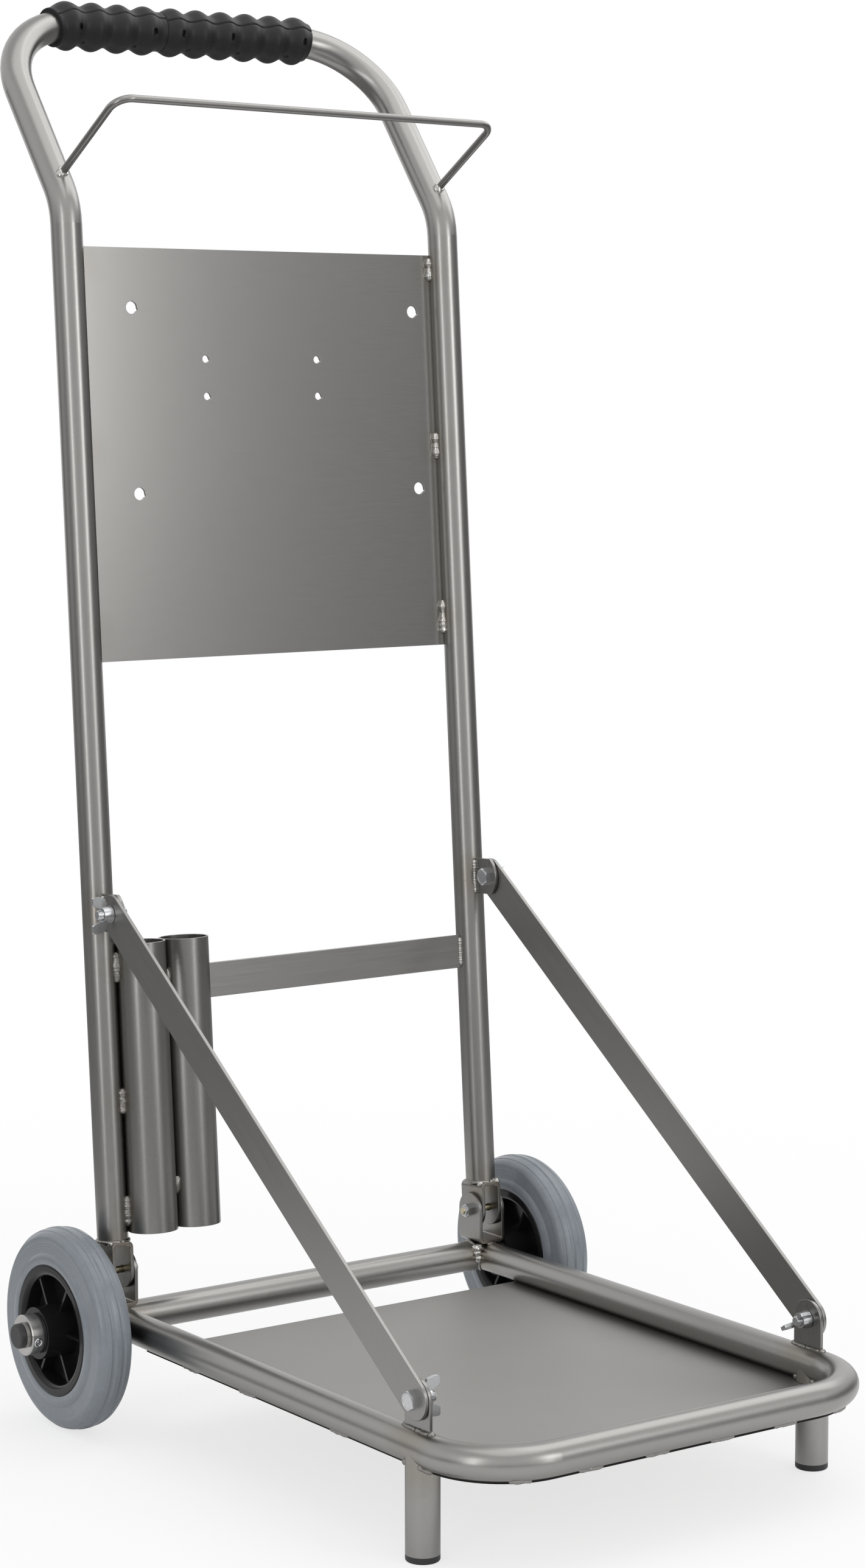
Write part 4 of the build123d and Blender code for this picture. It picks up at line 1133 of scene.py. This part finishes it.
def hex_head(built, base, axis, flats, height, top_rings=()):
    """A hexagon with chamfered corners, and more rings of (radius, height) on top of it."""
    rim = flats * RIM_SHARE
    rings = [
        hex_ring(base, axis, flats, lambda reach: 0.0),
        hex_ring(base, axis, flats, lambda reach: height - max(0.0, reach - rim) * CHAMFER_SLOPE),
        round_ring(base, axis, rim, height),
    ]
    skin(built, rings + [round_ring(base, axis, radius, top) for radius, top in top_rings])


def threaded(built, start, axis, plain, length, size):
    """A bolt's shank: a plain part, then a thread, then a chamfered end."""
    pitch, radius = size["pitch"], size["radius"]
    depth = pitch * THREAD_DEPTH

    def ridge(height, reach, angle):
        between = abs((height / pitch - angle / (2 * math.pi)) % 1 * 2 - 1)
        cut = depth * (1 - between) * min(1.0, max(0.0, (height - plain) / pitch))
        end = max(0.0, height - (length - pitch)) * TIP_SLOPE
        return max(reach - max(cut, end), reach * TIP_LEAST)

    levels = max(2, round((length - plain) / pitch * LEVELS_PER_PITCH))
    heights = [0.0] + [plain + (length - plain) * level / levels for level in range(levels + 1)]
    turned(built, start, axis, [(height, radius) for height in heights], THREAD_STEPS, ridge)


def ends_of(node, sign):
    """A node's two ends across the trolley: the inner one, then the outer one."""
    low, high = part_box(node)
    return (low.x, high.x) if sign > 0 else (high.x, low.x)


print("bolts: M8 with", M8["flats"] / MM, "mm heads and M6 with", M6["flats"] / MM, "mm heads")

# %% [markdown]
# ## The fasteners one by one
# Each stands for a solid of the CAD model. It could be placed by typed numbers, but it takes its ends and
# its middle from the solid, so that both agree. The upper strut bolts have their heads on the inside, all
# others on the outside.

# %% Make the fasteners
UPPER_PLAIN, LOWER_PLAIN, TIP_PLAIN, HINGE_PLAIN = 0.006, 0.001, 0.002, 0.024
NUT_HEIGHT, NUT_COLLAR_R, NUT_COLLAR_H = 0.005, 0.0044, 0.0016
COLLAR_LIP = ((0.0, 0.0004), (0.0002, 0.0001), (0.0005, 0.0), (0.0009, 0.0), (0.0010, 0.0005))
NYLON_IN, NYLON_LOW = 0.0009, 0.0003
SCREW_LIP, SCREW_CROWN_R, SCREW_ROUND_STEPS = 0.0008, 0.0038, 10
SCREW_SOCKET, SCREW_WALL, SCREW_POINT = 0.003, 0.8, 0.1


def bolt(kind, side, sign, body, size, plain, finish, head_inside=False):
    """A bolt across the trolley: its head with a dished top, its plain shank and its thread."""
    node = f"{kind}_{side}"
    inner, outer = ends_of(node, sign)
    head_end, end_x, way = (inner, outer, -sign) if head_inside else (outer, inner, sign)
    head_x = head_end - way * size["head"]
    outward = Vector((way, 0, 0))
    centre = middle(node)
    base = Vector((head_x, centre.y, centre.z))
    rim = size["flats"] * RIM_SHARE
    dish = [(rim * DISH_SHARES[0], size["head"]), (rim * DISH_SHARES[1], size["head"] - DISH_DEPTH)]
    built = bmesh.new()
    hex_head(built, base, outward, size["flats"], size["head"], dish)
    threaded(built, base + outward * OVERLAP, -outward, plain, abs(head_x - end_x) + OVERLAP, size)
    keep_piece(f"{kind}_dressed_{side}", built, body, "zinc", finish, node)


def thread_tip(side, sign):
    """The end of a lower strut bolt that stays in the lug."""
    node = f"lower_bolt_tip_{side}"
    inner, outer = ends_of(node, sign)
    start = Vector((outer, *middle(node).yz))
    built = bmesh.new()
    threaded(built, start, Vector((-sign, 0, 0)), TIP_PLAIN, abs(outer - inner), M8)
    keep_piece(f"lower_thread_{side}", built, "platform", "zinc", zinc, node)


def lock_nut(side, sign):
    """A hinge bolt's lock nut: a hexagon with a lipped collar, and the nylon ring inside it."""
    node = f"hinge_nut_{side}"
    base = Vector((ends_of(node, sign)[1], *middle(node).yz))
    way = Vector((-sign, 0, 0))
    top = NUT_HEIGHT + NUT_COLLAR_H
    lip = [(NUT_COLLAR_R - inward, top - down) for inward, down in COLLAR_LIP]
    nut = bmesh.new()
    hex_head(nut, base, way, M6["flats"], NUT_HEIGHT, [(NUT_COLLAR_R, NUT_HEIGHT)] + lip)
    keep_piece(f"lock_nut_{side}", nut, "platform", "zinc", zinc, node)
    ring_r, ring_top = NUT_COLLAR_R - NYLON_IN, top - NYLON_LOW
    profile = ((NUT_HEIGHT, M6["radius"]), (NUT_HEIGHT, ring_r), (ring_top, ring_r), (ring_top, M6["radius"]))
    ring = bmesh.new()
    turned(ring, base, way, profile, HEX_STEPS)
    keep_piece(f"nylon_ring_{side}", ring, "platform", "black_plastic", nut_insert)


def set_screw(side):
    """A collar's set screw: a rounded crown with a hexagon socket, on the line from the axle."""
    node = f"collar_screw_{side}"
    centre = middle(node)
    way = Vector((0, centre.y - axle.y, centre.z - axle.z)).normalized()
    heights = [(vertex.co - centre).dot(way) for vertex in nodes[node].data.vertices]
    base, top = centre + way * min(heights), max(heights) - min(heights)
    rings = [round_ring(base, way, M6["radius"], height) for height in (0.0, top - SCREW_LIP)]
    for step in range(SCREW_ROUND_STEPS + 1):
        turn = math.pi * step / SCREW_ROUND_STEPS
        reach = SCREW_CROWN_R - SCREW_LIP * (1 - math.cos(turn))
        rings.append(round_ring(base, way, reach, top + SCREW_LIP * math.sin(turn)))
    rings.append(hex_ring(base, way, SCREW_SOCKET, lambda reach: top))
    rings.append(hex_ring(base, way, SCREW_SOCKET, lambda reach: top - SCREW_SOCKET * SCREW_WALL))
    rings.append(round_ring(base, way, SCREW_SOCKET * SCREW_POINT, top - SCREW_SOCKET))
    built = bmesh.new()
    skin(built, rings)
    keep_piece(f"set_screw_{side}", built, "platform", "zinc", zinc, node)


for side, sign in sides:
    bolt("upper_bolt", side, sign, "upright", M8, UPPER_PLAIN, zinc, head_inside=True)
    bolt("lower_bolt", side, sign, f"strut_{side}", M8, LOWER_PLAIN, zinc)
    thread_tip(side, sign)
    bolt("hinge_bolt", side, sign, "platform", M6, HINGE_PLAIN, yellow_zinc)
    lock_nut(side, sign)
for side, _ in sides:
    set_screw(side)

# %% [markdown]
# ## Grips
# The two sleeves are slipped over the bar from both ends of the frame before it is bent, and meet a little
# off the middle. Their mould opens along the sleeve, which leaves a fine groove along the front. Its core
# pins leave oval holes on some of the swellings, and small tears lie underneath. Relief in the finish could
# draw these marks, but it would look flat at the outline. So the skin is a row of rings along the bar,
# dense enough to hold them all in the mesh.

# %% Make the grips
HANDLE_BEND = 0.074
GRIP_VALLEY_R = 0.0161
GRIP_BULGE_R = 0.0200
BULGE_PITCH = 0.0244
GRIP_STEP = 0.0007
GRIP_SIDES = 96
GROOVE_WIDTH, GROOVE_DEPTH = 0.0007, 0.0010
GROOVE_SHARES = (-3.0, -2.0, -1.2, -0.6, 0.0, 0.6, 1.2, 2.0, 3.0)
END_ROUND, END_FALL = 0.0009, 0.0006
BORE_PLAY = 0.00005
HOLE_ANGLE, HOLE_SIZES = math.radians(-44.0), (0.0034, 0.0021, 0.0030)
NICK_ANGLE, NICK_SIZES = math.radians(-97.0), (0.0016, 0.0017, 0.0012)
MARK_STEEPNESS = 3.0
joint_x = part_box("grip_sleeve_left")[1].x
joint_face = [v.co for v in nodes["grip_sleeve_left"].data.vertices if v.co.x > joint_x - TOUCHING]
bar_y = (min(p.y for p in joint_face) + max(p.y for p in joint_face)) / 2
bar_z = (min(p.z for p in joint_face) + max(p.z for p in joint_face)) / 2
up_slope = Vector((0, math.sin(HANDLE_LEAN), math.cos(HANDLE_LEAN)))
bulge_rise = GRIP_BULGE_R - GRIP_VALLEY_R


def bar_station(sign, distance):
    """The middle of the bar this far from the joint, and the direction of the bar there."""
    straight = side_x - HANDLE_BEND - sign * joint_x
    turn = max(distance - straight, 0) / HANDLE_BEND
    x = joint_x + sign * (min(distance, straight) + HANDLE_BEND * math.sin(turn))
    point = Vector((x, bar_y, bar_z)) + up_slope * HANDLE_BEND * (math.cos(turn) - 1)
    return point, Vector((sign * math.cos(turn), 0, 0)) - up_slope * math.sin(turn)


def bulged(distance, first, count, length):
    """The sleeve's radius before its small marks: swellings, valleys and softly rounded ends."""
    along_row = (distance - first) / BULGE_PITCH
    wave = 0.5 + 0.5 * math.cos(2 * math.pi * along_row) if -0.5 < along_row < count - 0.5 else 0.0
    edge = min(distance, length - distance)
    return GRIP_VALLEY_R + bulge_rise * wave - END_FALL * max(0.0, 1 - edge / END_ROUND) ** 2


def grip_angles(lines):
    """Even angles round the sleeve, with more of them at the mould lines."""
    angles = {2 * math.pi * step / GRIP_SIDES for step in range(GRIP_SIDES)}
    for line in lines:
        for share in GROOVE_SHARES:
            angles.add((line + share * GROOVE_WIDTH / GRIP_BULGE_R) % (2 * math.pi))
    return sorted(angles)


def apart(first, second):
    """The difference of two angles, from -180 to 180 degrees, in radians."""
    return (first - second + math.pi) % (2 * math.pi) - math.pi


def hole(distance):
    """A core hole: its place on the sleeve, its half sizes round and along it, and its depth."""
    return (distance, HOLE_ANGLE, *HOLE_SIZES)


def nick(distance):
    """A small tear under the sleeve, written like a hole."""
    return (distance, NICK_ANGLE, *NICK_SIZES)


def grip(side, sign, length, first, count, front_line, marks):
    """One sleeve: rings out along its skin and back along its bore."""
    lines = (front_line, front_line + math.pi)
    angles = grip_angles(lines)
    steps = round(length / GRIP_STEP)
    outer, bore = [], []
    for step in range(steps + 1):
        distance = length * step / steps
        point, way = bar_station(sign, distance)
        above = handle_normal.cross(way) * sign
        ring, inside = [], []
        for angle in angles:
            radius = bulged(distance, first, count, length)
            for line in lines:
                off = apart(angle, line) * radius / GROOVE_WIDTH
                radius -= GROOVE_DEPTH * math.exp(-off * off)
            for at, turn, half_long, half_wide, depth in marks:
                along_mark = (distance - at) / half_wide
                round_mark = apart(angle, turn) * radius / half_long
                inside_mark = along_mark ** 2 + round_mark ** 2
                if inside_mark < 1:
                    radius -= depth * min(1.0, MARK_STEEPNESS * (1 - inside_mark))
            radial = handle_normal * math.cos(angle) + above * math.sin(angle)
            ring.append(point + radial * radius)
            inside.append(point + radial * (tube_r + BORE_PLAY))
        outer.append(ring)
        bore.append(inside)
    built = bmesh.new()
    skin(built, outer + bore[::-1], closed=True)
    keep_piece(f"grip_dressed_{side}", built, "upright", "grip_rubber", grip_rubber, f"grip_sleeve_{side}")


grip("left", -1, length=0.1045, first=0.0165, count=4, front_line=math.radians(2.0),
     marks=[hole(0.0143), hole(0.085), nick(0.0285), nick(0.0775)])
grip("right", 1, length=0.1445, first=0.0105, count=6, front_line=math.radians(-6.0),
     marks=[hole(0.0128), hole(0.0613), hole(0.1335), nick(0.0238), nick(0.0726), nick(0.1214)])
print("grips meet at", round(joint_x / MM, 1), "mm")

# %% [markdown]
# ## Back plate
# The sheet is laser cut. The beam pierces the metal inside each hole and runs out to its edge, which leaves
# a small notch there. Holes could be cut out of a block, but that leaves sharp rims and long thin faces.
# A filled flat curve makes the sheet with its holes, and its own bevel breaks the edges.

# %% Make the back plate
NOTCH_R = 0.0009
NOTCH_ANGLE = math.radians(-20)
HOLE_STEPS = 60
SHEET_EDGE = 0.00025
HOLE_ROWS = ("large_holes_top", "large_holes_bottom", "small_holes_top", "small_holes_bottom")


def closed_outline(curve, points):
    """Adds a closed straight-sided outline to a curve."""
    spline = curve.splines.new("POLY")
    spline.points.add(len(points) - 1)
    for spot, (x, y) in zip(spline.points, points):
        spot.co = (x, y, 0, 1)
    spline.use_cyclic_u = True


def notched_hole(x, y, radius):
    """A circle with the small notch that the beam leaves."""
    points = []
    for step in range(HOLE_STEPS):
        angle = 2 * math.pi * step / HOLE_STEPS
        off = abs(apart(angle, NOTCH_ANGLE)) * radius
        reach = radius + (math.sqrt(NOTCH_R ** 2 - off ** 2) if off < NOTCH_R else 0.0)
        points.append((x + reach * math.cos(angle), y + reach * math.sin(angle)))
    return points


low_s, high_s = (upright_reading(corner)[0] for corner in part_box("back_plate"))
half_width = extent("back_plate").x / 2
curve = bpy.data.curves.new("back_plate_outline", "CURVE")
curve.dimensions = "2D"
curve.fill_mode = "BOTH"
curve.extrude = SHEET_HALF_T - SHEET_EDGE
curve.bevel_depth = SHEET_EDGE
curve.offset = -SHEET_EDGE
closed_outline(curve, [
    (-half_width, low_s), (half_width, low_s), (half_width, high_s), (-half_width, high_s),
])
for name in HOLE_ROWS:
    mount = mounts[name]
    s, _ = upright_reading(Vector(mount["pos_m"]))
    for sign in signs:
        x = mount["pos_m"][0] + sign * mount["dims"]["pcd_mm"] * MM / 2
        closed_outline(curve, notched_hole(x, s, mount["dims"]["hole_r_mm"] * MM))
flat_plate = bpy.data.objects.new("back_plate_outline", curve)
plate_mesh = bmesh.new()
plate_mesh.from_mesh(bpy.data.meshes.new_from_object(flat_plate))
bmesh.ops.remove_doubles(plate_mesh, verts=plate_mesh.verts, dist=TOUCHING)
stand = Matrix((across, along, forward)).transposed().to_4x4()
stand.translation = on_upright(0, 0, plate_f)
bmesh.ops.transform(plate_mesh, matrix=stand, verts=plate_mesh.verts)
bpy.data.objects.remove(flat_plate)
even_shading(keep_piece("back_plate_dressed", plate_mesh, "upright", "stainless", steel_sheet, "back_plate"))
print("back plate:", round(2 * half_width / MM), "by", round((high_s - low_s) / MM), "mm")

# %% [markdown]
# ## Floor
# The trolley stands on white paper, which takes a soft shadow and fades to plain white away from it, so
# that no horizon shows. A white plane would do for the picture, but the steel mirrors it as well. There the
# light on the paper is painted: a painted glow beside the trolley, painted shade under it where the glow is
# taken away, and an end where the darker floor of the studio begins. So the finish asks whether it is seen
# directly or in a reflection.

# %% Build the floor
FLOOR_SIZE = 12.0
PAPER, STUDIO_FLOOR = 0.86, 0.30
# The stretch over which the painted shade under the trolley gives way to the painted glow beside it.
PAINTED_SHADE_UNDER = (0.10, 0.32)
PAPER_REACH = (0.55, 1.15)
SHADOW_REACH = (0.3, 1.5)
NEAR_WHITE, MIRRORED_PAINTED_GLOW = 0.72, 0.24
PAPER_ROUGH = 0.9

bpy.ops.mesh.primitive_grid_add(x_subdivisions=2, y_subdivisions=2, size=FLOOR_SIZE, location=(0, 0, 0))
floor = bpy.context.object
floor.name = "floor"
floor_paint, floor_tree, floor_shader, floor_place = new_material("floor_paint")
floor_shader.inputs["Roughness"].default_value = PAPER_ROUGH
floor_shader.inputs["Specular IOR Level"].default_value = 0.0
floor_reach = add_node(floor_tree, "ShaderNodeVectorMath", {"operation": "LENGTH"})
floor_tree.links.new(floor_place, floor_reach.inputs[0])
distance = floor_reach.outputs["Value"]
floor_path = floor_tree.nodes.new("ShaderNodeLightPath")
seen_directly = floor_path.outputs["Is Camera Ray"]
past_paper = fade(floor_tree, distance, *PAPER_REACH, 0.0, 1.0)
not_direct = math_node(floor_tree, "SUBTRACT", 1.0, seen_directly)
off_paper = math_node(floor_tree, "MULTIPLY", past_paper, not_direct)
ground = mix_colour(floor_tree, off_paper, grey(PAPER), grey(STUDIO_FLOOR))
floor_tree.links.new(ground, floor_shader.inputs["Base Color"])
white = fade(floor_tree, distance, *SHADOW_REACH, NEAR_WHITE, 1.0)
# Painted glow and painted shade, seen only in reflections: the paper glows beside the trolley, and the glow fades
# to nothing under it, where its shadow lies.
beside = fade(floor_tree, distance, *PAINTED_SHADE_UNDER, 0.0, MIRRORED_PAINTED_GLOW)
painted_paper_glow = math_node(floor_tree, "MULTIPLY", beside, fade(floor_tree, distance, *PAPER_REACH, 1.0, 0.0))
mirrored_painted_glow = math_node(floor_tree, "MULTIPLY", floor_path.outputs["Is Glossy Ray"], painted_paper_glow)
shown_white = math_node(floor_tree, "MULTIPLY", seen_directly, white)
glow_share = math_node(floor_tree, "MAXIMUM", shown_white, mirrored_painted_glow)
floor_glow = add_node(floor_tree, "ShaderNodeEmission", Color=grey(1), Strength=1.0)
floor_mix = floor_tree.nodes.new("ShaderNodeMixShader")
for number, socket in enumerate((glow_share, floor_shader.outputs[0], floor_glow.outputs[0])):
    floor_tree.links.new(socket, floor_mix.inputs[number])
floor_tree.links.new(floor_mix.outputs[0], floor_tree.nodes["Material Output"].inputs["Surface"])
floor.data.materials.append(floor_paint)
print("floor:", FLOOR_SIZE, "m wide")

# %% [markdown]
# ## The studio round the trolley
# Polished steel shows the room. Behind the trolley hangs the white backdrop, which also fills the picture.
# The room before it is pale, with a brighter stretch right of the middle, and its far left and right are
# unlit, which gives every tube its dark sides. Real walls could be built and lit, but they would shade each
# other. So the world is a small panorama: a level for each azimuth, a pale top of the walls, which comes
# lower on the left, and a ceiling that is a little darker.

# %% Build the world
BACKDROP, FRONT, BRIGHT, DARK_LEFT, LEFT, DARK_RIGHT = 1.0, 0.74, 0.95, 0.17, 0.52, 0.20
WALL_TOP, CEILING = 0.92, 0.72
WALL_TOP_RISE, CEILING_RISE = (0.12, 0.36), (0.55, 0.85)
LEFT_TO_RIGHT, LEFT_LOWER = (-0.3, 0.3), 0.10
PANORAMA = (
    (-180, BACKDROP), (-168, BACKDROP), (-157, DARK_LEFT), (-147, DARK_LEFT), (-137, LEFT), (-112, LEFT),
    (-100, DARK_LEFT), (-90, DARK_LEFT), (-74, FRONT), (-5, FRONT), (6, BRIGHT), (26, BRIGHT),
    (36, DARK_RIGHT), (95, DARK_RIGHT), (118, BACKDROP), (180, BACKDROP),
)
world = bpy.data.worlds.new("studio")
bpy.context.scene.world = world
world.use_nodes = True
sky = world.node_tree
looked = add_node(sky, "ShaderNodeSeparateXYZ")
sky.links.new(sky.nodes.new("ShaderNodeTexCoord").outputs["Generated"], looked.inputs[0])
backward = math_node(sky, "MULTIPLY", looked.outputs["Y"], -1.0)
azimuth = math_node(sky, "ARCTAN2", looked.outputs["X"], backward)
turn_share = math_node(sky, "MULTIPLY_ADD", azimuth, 1 / (2 * math.pi), 0.5)
panorama = add_node(sky, "ShaderNodeValToRGB")
sky.links.new(turn_share, panorama.inputs["Fac"])
stops = panorama.color_ramp.elements
for stop, (degrees, level) in zip((stops[0], stops[1]), (PANORAMA[0], PANORAMA[-1])):
    stop.position = degrees / 360 + 0.5
    stop.color = grey(level)
for degrees, level in PANORAMA[1:-1]:
    stops.new(degrees / 360 + 0.5).color = grey(level)
lower_left = fade(sky, looked.outputs["X"], *LEFT_TO_RIGHT, LEFT_LOWER, 0.0)
height = math_node(sky, "ADD", looked.outputs["Z"], lower_left)
wall_top_share = fade(sky, height, *WALL_TOP_RISE, 0.0, 1.0)
ceiling_share = fade(sky, looked.outputs["Z"], *CEILING_RISE, 0.0, 1.0)
room = mix_colour(sky, wall_top_share, panorama.outputs["Color"], grey(WALL_TOP))
room = mix_colour(sky, ceiling_share, room, grey(CEILING))
seen = sky.nodes.new("ShaderNodeLightPath")
direct = math_node(sky, "MAXIMUM", seen.outputs["Is Camera Ray"], seen.outputs["Is Transmission Ray"])
sky.links.new(mix_colour(sky, direct, room, grey(1)), sky.nodes["Background"].inputs["Color"])
print("panorama stops:", len(stops))

# %% [markdown]
# ## Lamps
# Round steel shows a small lamp as a dot and a tall one as a long line, so every lamp has a surface. A strip
# on the left and a strip on the right draw the two lines on every tube, and both reach nearly to the floor.
# A panel beside the right strip brightens the back plate. A broad lamp overhead lights the platform and the
# tops of the rails, and a softbox on the right lights what faces that way.

# %% Build the lamps
def lamp(name, azimuth, distance, height, width, tall, power, aim_height):
    """A rectangular soft lamp round the trolley; azimuth 0 is straight in front, positive to the right."""
    data = bpy.data.lights.new(name, "AREA")
    data.shape = "RECTANGLE"
    data.size = width
    data.size_y = tall
    data.energy = power
    made = bpy.data.objects.new(name, data)
    bpy.context.scene.collection.objects.link(made)
    angle = math.radians(azimuth)
    made.location = (distance * math.sin(angle), -distance * math.cos(angle), height)
    made.rotation_mode = "QUATERNION"
    made.rotation_quaternion = (Vector((0, 0, aim_height)) - made.location).to_track_quat("-Z", "Y")


lamp("strip_left", azimuth=-63, distance=2.6, height=1.05, width=0.30, tall=2.0, power=7.5, aim_height=1.05)
lamp("strip_right", azimuth=15, distance=2.6, height=1.05, width=0.24, tall=2.0, power=5.0, aim_height=1.05)
lamp("panel_right", azimuth=23, distance=2.5, height=1.35, width=0.45, tall=0.9, power=4.4, aim_height=1.0)
lamp("overhead", azimuth=0, distance=0.5, height=2.9, width=2.2, tall=2.2, power=12, aim_height=0.0)
lamp("softbox_right", azimuth=95, distance=1.6, height=2.4, width=2.0, tall=2.0, power=14, aim_height=0.1)
bpy.context.scene.view_settings.view_transform = "Standard"
